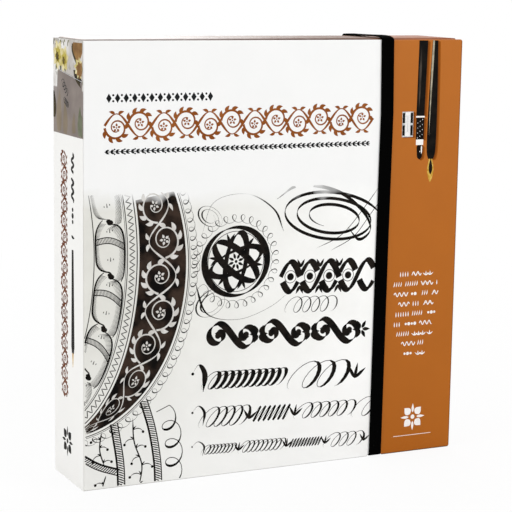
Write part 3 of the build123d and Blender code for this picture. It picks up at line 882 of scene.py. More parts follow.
def plait(length, half, pitch, nib, strands=3):
    """Flat plait: strands d = half·sin(φ), a third of a turn apart; where two meet, the one whose
    sin(2φ) is lower goes under, and breaks off just short of the other."""
    s = np.arange(0, length, 0.5)
    phase = [2 * np.pi * (s / pitch + k / strands) for k in range(strands)]
    lines = []
    for k in range(strands):
        shown = np.ones(len(s), bool)
        for other in range(strands):
            near = np.abs(half * (np.sin(phase[k]) - np.sin(phase[other]))) < 1.05 * nib
            shown &= ~(near & (np.sin(2 * phase[k]) < np.sin(2 * phase[other])) & (other != k))
        path = line_of(s, half * np.sin(phase[k]))
        width = 0.4 * nib + 0.6 * nib * np.abs(np.sin(heading(path) - np.radians(40)))
        lines += kept(stroke(path, width), shown)
    return lines


def s_scroll(half, nib, gap=1.25):
    """Lying S: a spiral that unwinds, crosses by half·cos(πt) and winds up again, upside down."""
    turns = 1.15
    wound = spiral(0, 0, half, 0.22 * half, np.pi / 2, turns)
    left_part = wound[::-1] - [gap * half, 0]
    t = np.linspace(0, 1, 14)[1:-1]
    cross = line_of(gap * half * (2 * t - 1), half * np.cos(np.pi * t))
    path = even(np.vstack([left_part, cross, -left_part[::-1]]), 0.6)
    return [broad(path, nib, thin=0.3)] + [bead(side * gap * half, 0, 0.25 * half) for side in (-1, 1)]


def laurel(length, tall, pitch, weight):
    """Running stem with a pair of leaves at each pitch and a berry between every other pair."""
    lines = rule(length, 0.4 * weight)
    for n in range(int(length / pitch)):
        at = (n + 0.15) * pitch
        lines += [leaf(at, 0, side * 0.72, 0.62 * tall, weight, -0.5 * side) for side in (-1, 1)]
        if n % 2:
            lines += pair_of_beads(at + 0.8 * pitch, 0.3 * tall, 0.1 * tall)
    return lines


def lozenge_row(length, tall):
    """Lozenges in a row: each an upright stroke of width w·(1 − |2t − 1|), with two beads between."""
    count = int(length / (0.95 * tall))
    pitch = length / count
    t = np.linspace(0, 1, 13)
    lines = []
    for n in range(count):
        at = (n + 0.5) * pitch
        upright = line_of(at, tall * (t - 0.5))
        lines.append(stroke(upright, 0.62 * tall * (1 - np.abs(2 * t - 1))))
        if n:
            lines += pair_of_beads(at - pitch / 2, 0.32 * tall, 0.12 * tall)
    return lines


# %% Pen drills
DRILLS = {"ovals": (0.62, 0.62), "push": (0.34, 0.0), "coil": (0.42, 0.75)}


def drill(kind, length, tall, swell, slant=32.0, thin=0.16):
    """One exercise: d = height/2 · −cos or sin of an even turn, s runs on and leans with d by the slant.
    Ovals and coils also swing back along s by a share of their pitch."""
    share, swing = DRILLS[kind]  # pitch as a share of the height, swing as a share of the pitch
    pitch = share * tall
    count = max(2, round(length / pitch))
    t = np.linspace(0, count, int(count * 16))
    wave = 2 * np.pi * t
    d = tall / 2 * (np.sin(wave) if kind == "push" else -np.cos(wave))
    path = line_of(pitch * (t - swing * np.sin(wave)) + d * np.tan(np.radians(slant)), d)
    return [flicked(flexed(path, swell, thin), 0.04)]


def drill_row(length, tall, swell, seed, thin, words, gap):
    """A row of exercises of uneven length, with a gap or a small sprig between them."""
    dice = np.random.default_rng(seed)
    lines, at = [], 0.0
    while at < length - words[0] * 0.6:
        long = min(dice.uniform(*words), length - at)
        size = tall * dice.choice([0.8, 0.8, 1.0, 1.25])
        lines += moved(drill(dice.choice(list(DRILLS)), long, size, swell, thin=thin), at + 0.3 * tall)
        if dice.random() < 0.4:
            middle = at + long + (0.3 + 0.5 * gap) * tall
            lines += [leaf(middle, -0.3 * tall, aim, 0.75 * tall, 0.16 * tall) for aim in (0.7, 1.4, 2.1)]
        at += long + gap * tall
    return lines


MOTIFS = {"beads": 0.62, "lozenges": 0.5, "leaves": 0.46, "waves": 0.9, "fans": 0.85}  # pitch / height


def motif_row(length, tall, seed, words, gap, weight):
    """A row of short runs of beads, lozenges, slanting leaves, waves or fans, with gaps between them."""
    dice = np.random.default_rng(seed)
    lines, at = [], 0.0
    while at < length - words[0] * 0.5:
        long = min(dice.uniform(*words), length - at)
        kind = dice.choice(list(MOTIFS))
        pitch = tall * MOTIFS[kind]
        spots = at + pitch * (np.arange(max(1, int(long / pitch))) + 0.5)
        if kind == "beads":
            lines += [bead(s, 0, 0.22 * tall * (1 + 0.35 * (k % 2))) for k, s in enumerate(spots)]
        elif kind == "lozenges":
            lines += [leaf(s, -0.46 * tall, np.pi / 2, 0.92 * tall, 1.1 * weight) for s in spots]
        elif kind == "leaves":
            lines += [leaf(s - 0.2 * tall, -0.4 * tall, 1.1, 0.95 * tall, weight, 0.5) for s in spots]
        elif kind == "waves":
            s = np.arange(at, at + long, 0.08 * tall)
            wave = line_of(s, 0.34 * tall * np.sin(2 * np.pi * s / pitch))
            lines += [stroke(wave, weight)] + [bead(s, 0, 0.1 * tall) for s in spots]
        else:
            for aim in np.radians([35, 90, 145]):
                lines += [leaf(s, -0.42 * tall, aim, 0.8 * tall, 1.1 * weight) for s in spots]
        at += long + gap * tall
    return lines


print("ornament alphabet: 6 small figures, 9 borders,", len(DRILLS), "drills and", len(MOTIFS), "motifs")

# %% [markdown]
# ## Inks
# Offset ink on coated paper is a thin satin film. The old pen work on the lower half is brown-black
# and uneven, as iron-gall ink is where the nib ran dry, and fades out towards its top edge.

# %% Ink materials
def ink(name, dark, light, grain=260.0, rough=0.5, fades=False):
    """Satin ink film, mottled between two tones. One that fades turns to paper above ART_TOP."""
    made, tree, inputs, place = begin(name, {"Roughness": rough, "Specular IOR Level": 0.05})
    colour = mottle(tree, place, grain, 4.0, (0.38, 0.64), dark, light)
    if fades:
        cloud = add(tree, "ShaderNodeTexNoise", {"Vector": place, "Scale": 60.0, "Detail": 2.0})
        wander = {0: cloud.outputs["Fac"], 1: 20.0, 2: in_mm(tree, place)[2]}
        wander = add(tree, "ShaderNodeMath", wander, operation="MULTIPLY_ADD").outputs[0]
        colour = shade(tree, wander, ART_TOP + 5, ART_TOP + 12, colour, "#f2f2f1")
    tree.links.new(colour, inputs["Base Color"])
    return made


old_ink = ink("iron_gall_ink", "#060504", "#1d1814", fades=True)
ground_ink = ink("iron_gall_ground", "#080605", "#3b2e26", grain=90.0, fades=True)
pale_ink = ink("bare_paper_in_print", "#d9d7d3", "#c6c3bd", rough=0.45)
black_ink = ink("black_offset_ink", "#151617", "#222426")
tool_ink = ink("rich_black_ink", "#060505", "#17130f", grain=120.0)
copper_ink = ink("copper_offset_ink", "#85471a", "#98592a", grain=40.0)
brown_ink = ink("deep_copper_ink", "#5c2c0e", "#6e3a1a", grain=40.0)
white_ink = ink("white_offset_ink", "#f7f5f2", "#f0edea")
shade_ink = ink("soft_shadow_ink", "#96500f", "#9b5413", grain=40.0)
deep_shade_ink = ink("deep_shadow_ink", "#7a3e0c", "#81440f", grain=40.0)
sheen_ink = ink("dark_sheen_ink", "#2b2622", "#453e37", grain=90.0)
glaze_ink = ink("glazed_highlight_ink", "#8d8673", "#b9b19c")
silver_ink = ink("silver_grey_ink", "#a9acae", "#dcdddd", grain=700.0, rough=0.35)
gold_ink = ink("gold_tone_ink", "#b98a2e", "#e3bf62", grain=500.0, rough=0.35)
print("inks: 14")

# %% [markdown]
# ## Front cover: the specimen sheet
# The lower two thirds of the cover carry a sheet of old pen work. It is this project's own design. An
# oval frame of dark ground with a pale vine sweeps from the head round to the left edge, with a
# rolled ribbon inside it and loops outside. Under it stand roped bands with sprigs. To its right a
# knot in a ring of loops starts rows of plaits, scrolls and drills that get finer towards the foot.

# %% Oval frame
ART_LEFT = SPINE + 0.95
ART_RIGHT = STRIP_EDGE - 3.0


def oval_edge(middle, wide, tall, count=220):
    """Edge of an oval, from below its middle round to the right and up, as a line of points."""
    return middle + polar(np.radians(np.linspace(-84, 40, count)), wide, tall)


outer_edge = oval_edge((-140, 132), 78, 98)
inner_edge = oval_edge((-150, 138), 58, 106)
frame_line = (outer_edge + inner_edge) / 2
frame_way = way_of(frame_line)
frame_turn = heading(frame_line)
across = outer_edge - inner_edge
frame_half = np.abs(across[:, 0] * np.sin(frame_turn) - across[:, 1] * np.cos(frame_turn)) / 2
frame_length = frame_way[-1]


def in_frame(strokes, side=0, gap=0.0):
    """Lay strokes on the crescent. Side 0 squeezes them with its half width; side 1 or -1 shifts them
    by that half width and a gap, to its inner or outer edge."""
    laid = []
    for line in strokes:
        half = np.interp(line[:, 0], frame_way, frame_half)
        share = half / frame_half.max() if side == 0 else np.ones(len(line))
        squeezed = line * line_of(1, share, share)
        squeezed[:, 1] += side * (half + gap)
        laid.append(squeezed)
    return bend(frame_line, laid)


def zigzag(length, half, pitch, width):
    """Pointed wave: d = half·(2/π)·asin(sin(2πs/pitch)), rounded by the pen."""
    s = np.arange(0, length, pitch / 8)
    d = 0.64 * half * np.arcsin(np.sin(2 * np.pi * s / pitch))
    return [stroke(line_of(s, d), width)]


def rolled_ribbon(length, half, pitch, width):
    """Rolled ribbon. A lobe's edges are smooth curves through a few points, given as shares of the
    pitch and of the half width. The left edge turns in over a dark eye, where the ribbon goes under,
    and the next lobe comes out from below the eye. A hatched strap crosses each lobe."""
    size = np.array([pitch, half])
    left = [(1.0, 0.4), (0.94, 0.66), (0.84, 0.88), (0.68, 1.0), (0.36, 1.0), (0.17, 0.93)]
    left = through(size * (left + [(0.06, 0.68), (0.015, 0.3), (0.0, 0.0), (-0.05, -0.2)]), 6)
    right = [(0.88, -0.15), (0.86, -0.45), (0.79, -0.78), (0.66, -0.98), (0.45, -1.04)]
    right = through(size * (right + [(0.15, -1.04), (-0.05, -1.0), (-0.17, -0.84)]), 7)
    parts = []
    for line in (left, right):
        parts.append(stroke(line, 0.3 + width * np.sin(np.pi * np.linspace(0.05, 0.95, len(line)))))
    u = np.linspace(0, 1, 20)
    strap = size * line_of(0.60 - 0.16 * u + 0.07 * np.sin(np.pi * u), 0.97 - 1.97 * u)
    parts += [stroke(strap + [shift * pitch, 0], 0.55) for shift in (-0.055, 0.055)]
    parts += [stroke(strap[k] + np.outer([-1, 1], [0.05 * pitch, 0.4]), 0.3) for k in range(1, 19)]
    for s in (0.77, 0.24):
        for d, tall in ((-0.24, 0.6), (-0.04, 1.5), (0.16, 0.6)):
            parts.append(stroke([s * pitch, d * half] + np.outer([-1, 1], [tall, 0]), [0.6, 0.25]))
    for edge, inwards, deep in ((left[:-10], -1, 0.16), (right, 1, 0.3)):
        edge = even(edge, 0.95)[3:-2]
        share = np.linspace(0, 1, len(edge))
        depth = (deep + 0.35 * share**3 + 0.3 * (1 - share) ** 3) * half * inwards
        for at, deep_here in zip(edge, depth):
            hatch = np.outer([0, 0.5, 1], [-0.45 * inwards * deep_here, deep_here])
            parts.append(stroke(at + hatch, [0.36, 0.24, 0.1]))
    parts.append(bead(-0.085 * pitch, -0.12 * half, 0.22 * half))
    parts.append(bead(-0.05 * pitch, -0.02 * half, 0.17 * half))
    lines = [part + [n * pitch, 0, 0] for n in range(int(length / pitch) + 1) for part in parts]
    return [line for line in lines if line[:, 0].min() > 0 and line[:, 0].max() < length]


ground = [stroke(frame_line, 2 * frame_half)]
pale_vine = in_frame(vine(frame_length, frame_half.max() - 1.2, 1.3, 9))
border = []
for side, gap, width in ((-1, 1.6, 0.5), (-1, 2.6, 0.28), (1, 1.5, 0.6), (1, 7.6, 0.5), (1, 8.6, 0.25)):
    border += in_frame(rule(frame_length, width), side, gap)
border += in_frame(zigzag(frame_length, 1.7, 4.6, 0.5), 1, 4.6)
border += in_frame(rolled_ribbon(frame_length, 8.8, 41.0, 0.8), 1, 18.6)
border += in_frame(rule(frame_length, 0.5), 1, 28.5)
border += in_frame(chain(frame_length, 2.2, 5.0, 0.55), -1, 5.6)
print(f"oval frame: {frame_length:.0f} mm round, ground up to {2 * frame_half.max():.0f} mm wide")


# %% Roped bands under the frame
def roped_band(points, half=1.9):
    """Hatched band between two rules, along a line."""
    line = through(points)
    long = span(line)
    strokes = rope(long, half, 1.5, 0.6) + rule(long, 1.2, half + 0.3) + rule(long, 0.7, -half - 0.3)
    return bend(line, strokes)


def sprig(points, size, seed):
    """Stem with berries on long curved stalks, left and right in turn, and a small leaf at each."""
    line = even(through(points), 1.0)
    way = heading(line)
    dice = np.random.default_rng(seed)
    lines = [flicked(stroke(line, 0.8))]
    for n, k in enumerate(range(2, len(line) - 3, max(3, int(0.85 * size)))):
        side = 1 if n % 2 else -1
        stalk = leaf(*line[k], way[k] + 0.75 * side, size * dice.uniform(0.9, 1.2), 0.5, 1.9 * side)
        lines += [stalk, bead(*stalk[-1, :2], 0.85)]
        lines.append(leaf(*line[k], way[k] + 0.25 * side, 0.45 * size, 0.9, 0.8 * side))
    return lines


corner = roped_band([(-79, -3), (-80, 14), (-83.5, 34), (-89, 52)])
corner += roped_band([(-103, -3), (-104, 16), (-108, 40)])
corner += roped_band([(-129, 21), (-118, 14), (-105, 9)], 1.5)
corner += sprig([(-92, -2), (-90, 12), (-95, 27), (-96, 42)], 7.5, 5)
corner += sprig([(-116, -3), (-115, 2), (-113, 8)], 5.0, 7)
corner += sprig([(-114, 14), (-117, 24), (-116, 35)], 6.0, 8)
loops_line = through([(-69.5, 0), (-69, 16), (-70.5, 32), (-76, 46)])
corner += bend(loops_line, [line + [0, 0, 0.3] for line in chain(span(loops_line), 5.6, 12.0, 1.1)])
print("bands and sprigs:", len(corner), "strokes")

# %% Knot in a ring of loops
KNOT_AT = (-29.0, 133.0)
knot = []
for tilt in (20, 80, 140):
    knot.append(broad(oval(*KNOT_AT, 17.8, 6.6, tilt, 1.03), 3.8, 0.5))
    for side in (0, 180):
        aim = np.radians(tilt + side + 30)
        foot = np.array(KNOT_AT) + 11.5 * np.array([np.cos(aim), np.sin(aim)])
        knot += [leaf(*foot, aim + lean, 7.0, 1.9, 0.5 * np.sign(lean)) for lean in (-0.5, 0, 0.5)]
knot += [broad(ring(*KNOT_AT, 21.0, -100, 262), 3.9, 0.5, 20), stroke(ring(*KNOT_AT, 18.6), 0.35)]
knot += blossom(*KNOT_AT, 5.4, 8)
loop_ring = ring(*KNOT_AT, 26.5, -150, 190)[::-1]
knot += bend(loop_ring, chain(span(loop_ring), 2.5, 5.6, 0.45))
for curve, swell in (
    (oval(-45, 108, 12.5, 8.5, 30, 2.1, 0.55), 0.9),
    (oval(-47, 161, 9.5, 6.5, -35, 2.2, 0.6), 0.8),
    (through([(-52, 150), (-44, 170), (-22, 174), (-4, 164), (3, 150)]), 1.3),
    (through([(-56, 122), (-48, 102), (-27, 97), (-6, 103), (8, 112)]), 1.2),
):
    knot.append(flicked(flexed(curve, swell)))
print("knot:", len(knot), "strokes")

# %% Rows of the specimen
ROW_LEAN = -2.0  # the sheet lay a little askew, so its rows fall to the right


def row(strokes, u, v):
    """Strokes of one row, set at its left end and leaning with the sheet."""
    return moved(strokes, u, v, ROW_LEAN)


def heavy_scrolls(length, half, nib):
    """Lying S scrolls in a row, with six leaves between neighbours."""
    pitch = 4.75 * half
    lines = []
    for n in range(int(round(length / pitch))):
        at = half * 2.1 + n * pitch
        lines += moved(s_scroll(half, nib), at, 0)
        aims = np.radians([0, 60, 120, 180, 240, 300])
        lines += leaf_ring(at + pitch / 2, 0, aims, 0.8, 0.72 * half, 0.3 * half)
    return lines


def guilloche(length, half, pitch, nib):
    """Two plaited strands with a bead in each eye and a pair of leaves over and under each crossing."""
    lines = plait(length, half, pitch, nib, 2)
    for n in range(int(length / pitch * 2)):
        eye = (n + 0.5) * pitch / 2
        lines += [bead(eye, 0, 0.25 * half), stroke(ring(eye, 0, 0.42 * half), 0.35)]
        if n:
            for side, lean in ((1, -0.45), (1, 0.45), (-1, -0.45), (-1, 0.45)):
                at, aim = side * 0.62 * half, side * (np.pi / 2 + lean)
                lines.append(leaf(n * pitch / 2, at, aim, 0.62 * half, 0.2 * half))
    return lines


rows = row(guilloche(66.0, 9.2, 27.0, 4.4), 1.5, 121.4)
rows += row(drill("ovals", 34, 10.0, 0.55, 20, 0.3), 8, 103.5)
rows += row(heavy_scrolls(112, 7.6, 4.2), -47, 88)
drill_specs = [(60.5, 13.6, 2.5, 5, 0.4), (37.5, 10.0, 1.2, 12, 0.32), (17.0, 7.4, 0.75, 8, 0.28)]
for v, tall, swell, seed, thin in drill_specs:
    words = (2.0 * tall, 4.2 * tall)
    rows += row(drill_row(ART_RIGHT + 50, tall, swell, seed, thin, words, gap=0.75), -51, v)
    entry = [(-57, 0.4), (-53, 0.75), (-49, 0.3), (-50, -0.5)]
    entry = through([(u, v + share * tall) for u, share in entry])
    rows += [flicked(flexed(entry, 1.3 * swell, 0.3), 0.3), bead(-57, v + 0.36 * tall, 0.07 * tall)]

swash = [flicked(broad(oval(36, 157, 37, 16.5, -9, 2.7, 0.62), 1.7, 0.25, 78), 0.06)]
for curve in ([(26, 138), (44, 146), (60, 163), (72, 178)], [(36, 136), (52, 144), (64, 158), (74, 170)]):
    swash.append(flicked(flexed(through(curve), 0.6, 0.4)))
tail = [(-2, 170), (14, 178), (40, 173), (58, 160), (64, 148), (56, 142), (48, 150)]
swash.append(flicked(broad(through(tail), 1.9, 0.3, 75)))
art = border + corner + knot + rows + swash
print("specimen:", len(art), "strokes,", round(sum(span(a[:, :2]) for a in art) / 1000, 1), "m of line")

# %% Put the specimen on the cover
art_window = ((ART_LEFT, ART_RIGHT), (0.9, ART_TOP + 1.5))
put_print(
    "front_specimen_print", "cover", on_front, art_window,
    [(art, old_ink, 0.035), (ground, ground_ink, 0.025), (pale_vine, pale_ink, 0.05)],
)

# %% [markdown]
# ## Front cover: title band
# Where a title would stand there is a copper vine of the same height, with a row of black lozenges
# over it and a line of laurel under it.

# %% Title band
TITLE_LEFT, TITLE_RIGHT = -114.0, 63.5
TITLE_FOOT, TITLE_HEAD = 206.5, 228.5
title_half = (TITLE_HEAD - TITLE_FOOT) / 2
title_middle = (TITLE_HEAD + TITLE_FOOT) / 2
title = moved(vine(TITLE_RIGHT - TITLE_LEFT, title_half, 1.5), TITLE_LEFT, title_middle)
heading_row = moved(lozenge_row(69.5, 5.4), TITLE_LEFT, 233.4)
under_row = moved(laurel(176.0, 4.6, 3.2, 1.1), TITLE_LEFT, 202.3)
cover_window = ((ART_LEFT, FORE - 0.8), (0.9, HEIGHT - 0.48))
put_print(
    "front_title_print", "cover", on_front, cover_window,
    [(title, copper_ink, 0.04), (heading_row + under_row, black_ink, 0.04)],
)

# %% [markdown]
# ## Front cover: the copper strip
# The strip shows what is inside: a sharpener, a cartridge pen and a dip pen hang from its head with
# soft shadows, over rows of small white motifs and a fleuron. Long parts of a pen are single wide
# strokes, laid over each other from the shadow up.


# %% Strip pictures
def bar(u, low, high, width, end_width=None, lean=0.0):
    """Upright stroke of even or tapering width, leaning by `lean` mm over its length."""
    t = np.linspace(0, 1, max(12, int(abs(high - low) / 0.8)))
    end_width = width if end_width is None else end_width
    line = line_of(u + lean * t, low + (high - low) * t)
    return stroke(line, width + (end_width - width) * t)


TOP = HEIGHT - 0.5
sharpener_u, pen_u, dip_u = 88.9, 98.0, 106.8


def drop_shadow(shapes, reach_out, grow):
    """The same strokes, shifted right and down and widened, for a soft edge in two or three tones."""
    return [line + [reach_out, -0.5 * reach_out, grow] for line in shapes]


pen_body = [bar(pen_u, 218.6, TOP, 5.9, 6.4, 0.9), bar(pen_u, 203.6, 217.4, 5.8, 5.9)]
pen_nib = [flicked(bar(pen_u + 0.1, 191.0, 200.6, 3.4, 4.6), 0.12)]
dip_t = np.linspace(0, 1, 120)
dip_line = line_of(dip_u + 0.7 - 1.0 * dip_t, TOP - (TOP - 191.0) * dip_t)
dip_width = 3.9 + 2.9 * np.sin(0.62 * np.pi * dip_t)
dip_body = [stroke(dip_line, dip_width * np.sqrt(1 - 0.75 * dip_t**24))]
lit = dip_t < 0.8  # the window's reflection runs down the holder's left side and fades above the nib
left_side = dip_line[lit] - np.outer(dip_width[lit], [0.29, 0])
dip_glaze = [stroke(left_side, 0.3 * dip_width[lit] * np.clip(1.25 - dip_t[lit] / 0.64, 0, 1))]
sharpener = [bar(sharpener_u, 205.4, 221.4, 8.0)]
cast = pen_body + pen_nib + dip_body + sharpener
shades = drop_shadow(cast, 1.5, 0.8)
deep_shades = drop_shadow(cast, 0.9, 0.3)
dark = pen_body + pen_nib + dip_body
side_marks = [bar(u, low, low + 6.4, 1.7) for u in (86.0, 91.8) for low in (206.4, 214.2)]
light = [bar(pen_u, 217.5, 218.5, 6.3), bar(pen_u, 200.1, 203.6, 5.3)]
light += [bar(sharpener_u, 205.9, 221.0, 3.4)]
light += [flicked(bar(pen_u + 1.5, 194.4, 199.8, 0.7, 1.1), 0.2), bead(pen_u + 0.3, 196.0, 0.3)]
shine = [flicked(bar(pen_u - 1.2, 222, 262, 1.2, 1.8, 0.6), 0.3)]
fine = [bar(sharpener_u, 208.6, 219.0, 0.5)]
fine += [bar(sharpener_u + side, 208.0, 219.4, 0.22) for side in (-0.9, 0.9)]
grip_dots = [bead(pen_u - 1.7 + 1.7 * (k % 3), 204.6 + 1.05 * k, 0.3) for k in range(12)]
nib_t = np.linspace(0, 1, 30)
nib_width = 0.25 + 4.5 * np.sin(np.pi * np.clip(nib_t, 0, 0.84)) ** 0.85
gold = [stroke(line_of(dip_u - 0.3, 176.2 + 16.0 * nib_t), nib_width)]
gold_shade = [leaf(dip_u - 0.2, 181.0, np.pi / 2, 10.4, 2.6)]
put_print(
    "front_tools_print", "cover", on_front, cover_window,
    [
        (shades, shade_ink, 0.012),
        (deep_shades, deep_shade_ink, 0.026),
        (sharpener, silver_ink, 0.038),
        (dark, tool_ink, 0.038),
        (side_marks, tool_ink, 0.052),
        (gold, gold_ink, 0.040),
        (light, white_ink, 0.054),
        (grip_dots, silver_ink, 0.054),
        (shine, sheen_ink, 0.052),
        (dip_glaze, glaze_ink, 0.052),
        (fine, silver_ink, 0.068),
        (gold_shade, tool_ink, 0.055),
    ],
)


# %% Strip motifs and fleuron
def centred_rows(middle, top, pitch, widths, tall, seed, weight):
    """Rows of small motifs, each centred on the same line."""
    lines = []
    for n, wide in enumerate(widths):
        one = motif_row(wide, tall, seed + n, words=(1.4 * tall, 3.2 * tall), gap=0.5, weight=weight)
        lines += moved(one, middle - wide / 2, top - pitch * n)
    return lines


def fleuron(u, v, radius):
    """Four-petal flower between four darts."""
    darts = leaf_ring(u, v, np.arange(4) * np.pi / 2, 0.35 * radius, 0.7 * radius, 0.2 * radius)
    return blossom(u, v, radius, 4, np.pi / 4) + darts


row_widths = [26, 34, 33, 26, 31, 33, 28, 20, 17]
block_rows = centred_rows(99.0, 117.5, 6.5, row_widths, 3.6, 70, 0.62)
strip_mark = fleuron(99.0, 23.0, 8.5) + [bar(84.0, 10.6, 10.9, 0.1)]
strip_mark.append(stroke(line_of(np.linspace(85, 113, 20), 11.0), 0.35))
strip_print = [(block_rows + strip_mark, white_ink, 0.04)]
put_print("front_strip_print", "cover", on_front, cover_window, strip_print)

# %% [markdown]
# ## Spine print
# The picture block at the head gets loose flowers, a tan tag and a card with a few pen marks. Below
# it a copper vine runs down the middle, with a narrow row of motifs and a slim dip pen beside it.

# %% Spine figures
BLOCK_WINDOW = ((-BACK + 0.3, -FRONT - 0.3), (PICTURE_FOOT, HEIGHT - 0.3))
card_ink = ink("mauve_grey_print", "#7d736e", "#8d837c", grain=60.0)
taupe_ink = ink("taupe_print", "#7a6e5c", "#8b7d6a", grain=60.0)
olive_ink = ink("olive_print", "#4c4c34", "#77763f", grain=180.0)
dark_leaf_ink = ink("dark_leaf_print", "#241c0c", "#443a1c", grain=120.0)
sage_ink = ink("sage_print", "#62664f", "#7b7f6a", grain=90.0)
cream_ink = ink("cream_petal_print", "#c4b670", "#e6dcb0", grain=220.0)
yellow_ink = ink("straw_petal_print", "#9c8a2a", "#c6b556", grain=200.0)
throat_ink = ink("flower_throat_print", "#463a12", "#76651e", grain=200.0)
tan_ink = ink("tan_print", "#74522b", "#9d7743", grain=110.0)


def bloom(u, v, radius, petals, squash):
    """Full flower: two rings of broad petals, the inner ones shorter and turned between the outer."""
    rings = []
    for size, turn in ((radius, 0.0), (0.6 * radius, 0.45)):
        aims = turn + 2 * np.pi * np.arange(petals) / petals
        petal_ring = [leaf(0, 0, aim, size, 4.6 * size / petals, 0.4) for aim in aims]
        rings.append([line * [1, squash, 0.5 + 0.5 * squash] + [u, v, 0] for line in petal_ring])
    return rings


def flat_bar(start, end, width):
    """One straight stroke from a place to another."""
    return stroke(even([start, end], 1.0), width)


card_shape = [flat_bar((-19.5, 229.3), (27.0, 223.5), 38.6), flat_bar((-25, 213.6), (-18, 213.6), 10.8)]
fold_line = [flat_bar((-19.5, 248.4), (27.0, 242.6), 0.3)]
warm_leaves = [leaf(-14, 208, 1.75, 29, 9.0, -0.35), leaf(-5, 208, 1.3, 23, 8.0, 0.5)]
warm_leaves += [leaf(12, 208, 1.9, 17, 6.0, -0.6)]
grey_leaves = [leaf(22, 209, 1.75, 20, 7.5, -0.3), leaf(25, 209, 1.5, 15, 6.0, 0.2)]
near_leaf = [leaf(-25.2, 216.5, 1.52, 21, 9.5, 0.1)]
far_leaves = [leaf(10.5, 249, -0.6, 16, 5.0, -0.1), leaf(14.5, 244.2, 0.05, 11.5, 4.0, -0.3)]
specks, stems = [], []
for k in range(14):
    specks.append(leaf(-25 + 2.1 * k, 262 + 2.2 * (k % 3), 1.2 + 0.5 * (k % 4), 3.6, 1.1, 0.5))
for k in range(5):
    stems.append(leaf(-21 + 4.5 * k, 247 + 1.5 * (k % 2), 1.0 + 0.3 * k, 12, 3.0, 0.5 - 0.2 * k))
outer_petals, inner_petals, throats = [], [], []
flowers = [(-16.5, 256.5, 9.5, 7, 1.0), (-5.5, 254.5, 7.5, 6, 1.1), (20.5, 250.5, 9.0, 9, 0.72)]
for u, v, radius, petals, squash in flowers:
    outer_ring, inner_ring = bloom(u, v, radius, petals, squash)
    outer_petals += outer_ring
    inner_petals += inner_ring
    throats += bloom(u - 1.0, v - 0.8, 0.34 * radius, petals, squash)[0]
rose_heart = bloom(21.5, 249.5, 7.0, 7, 0.75)[0]
tag = [leaf(18.2, 269, -1.6, 16.0, 18.0, 0.1)]
tag_shade = [leaf(16.4, 268, -1.64, 16.0, 18.0, 0.1)]
scribble = moved(drill("ovals", 12.0, 4.4, 0.5, 10.0, 0.35), -9, 241.5, -38)
scribble += moved(drill("coil", 7.0, 3.6, 0.5, 10.0, 0.35), -6, 231.0, -25)
put_print(
    "spine_picture_print", "box", on_spine, BLOCK_WINDOW,
    [
        (stems + specks, olive_ink, 0.014),
        (tag_shade, dark_leaf_ink, 0.024),
        (tag, tan_ink, 0.038),
        (far_leaves, dark_leaf_ink, 0.050),
        (outer_petals, cream_ink, 0.064),
        (inner_petals, yellow_ink, 0.078),
        (throats, throat_ink, 0.090),
        (rose_heart, tan_ink, 0.102),
        (card_shape, card_ink, 0.040),
        (fold_line, silver_ink, 0.056),
        (warm_leaves, taupe_ink, 0.056),
        (grey_leaves, sage_ink, 0.070),
        (near_leaf, dark_leaf_ink, 0.082),
        (scribble, black_ink, 0.060),
    ],
)

# %% Spine vine, motifs and dip pen
SPINE_TITLE_U, SPINE_TITLE_HALF = -6.6, 7.0
spine_base = [(SPINE_TITLE_U, 200.0), (SPINE_TITLE_U, 51.0)]
spine_vine = bend(spine_base, vine(149.0, SPINE_TITLE_HALF, 1.5))
spine_motifs = motif_row(53, 5.8, 61, words=(8, 17), gap=0.5, weight=1.9)
spine_motifs = bend([(8.4, 200.0), (8.4, 146.0)], spine_motifs)
dip_pen = [bar(8.2, 84, 143.0, 5.4, 3.0), bar(8.2, 80.5, 84, 3.2, 5.2)]
dip_tip = [bar(8.2, 72.0, 80.8, 0.4, 2.4)]
foot_mark = fleuron(-2.0, 24.0, 9.0)
spine_window = ((-BACK + 0.5, -FRONT - 0.5), (0.9, PICTURE_FOOT - 0.5))
put_print(
    "spine_print", "box", on_spine, spine_window,
    [
        (spine_vine, brown_ink, 0.04),
        (spine_motifs + dip_pen + foot_mark, tool_ink, 0.04),
        (dip_tip, gold_ink, 0.04),
    ],
)

# %% [markdown]
# ## Back print
# The back is quieter: the same copper strip with a white vine, a plaited rule at head and foot, a
# rosette in the middle and rows of small motifs under it.

# %% Back figures
def rosette(u, v, radius):
    """Rings, petals, a loop chain and an outer ring of scallops."""
    rings = ((0.2, 0.35), (0.52, 0.6), (0.58, 0.2), (0.8, 0.5))
    lines = [stroke(ring(u, v, share * radius), width) for share, width in rings]
    aims = np.linspace(0, 2 * np.pi, 13)[:-1]
    lines += leaf_ring(u, v, aims, 0.22 * radius, 0.28 * radius, 0.12 * radius)
    whole = ring(u, v, 0.69 * radius)[::-1]
    lines += bend(whole, chain(span(whole), 0.07 * radius, 0.105 * radius, 0.35))
    outer = ring(u, v, 0.82 * radius)[::-1]
    lines += bend(outer, scallops(span(outer), 0.11 * radius, 0.35))
    return lines + blossom(u, v, 0.18 * radius, 6)


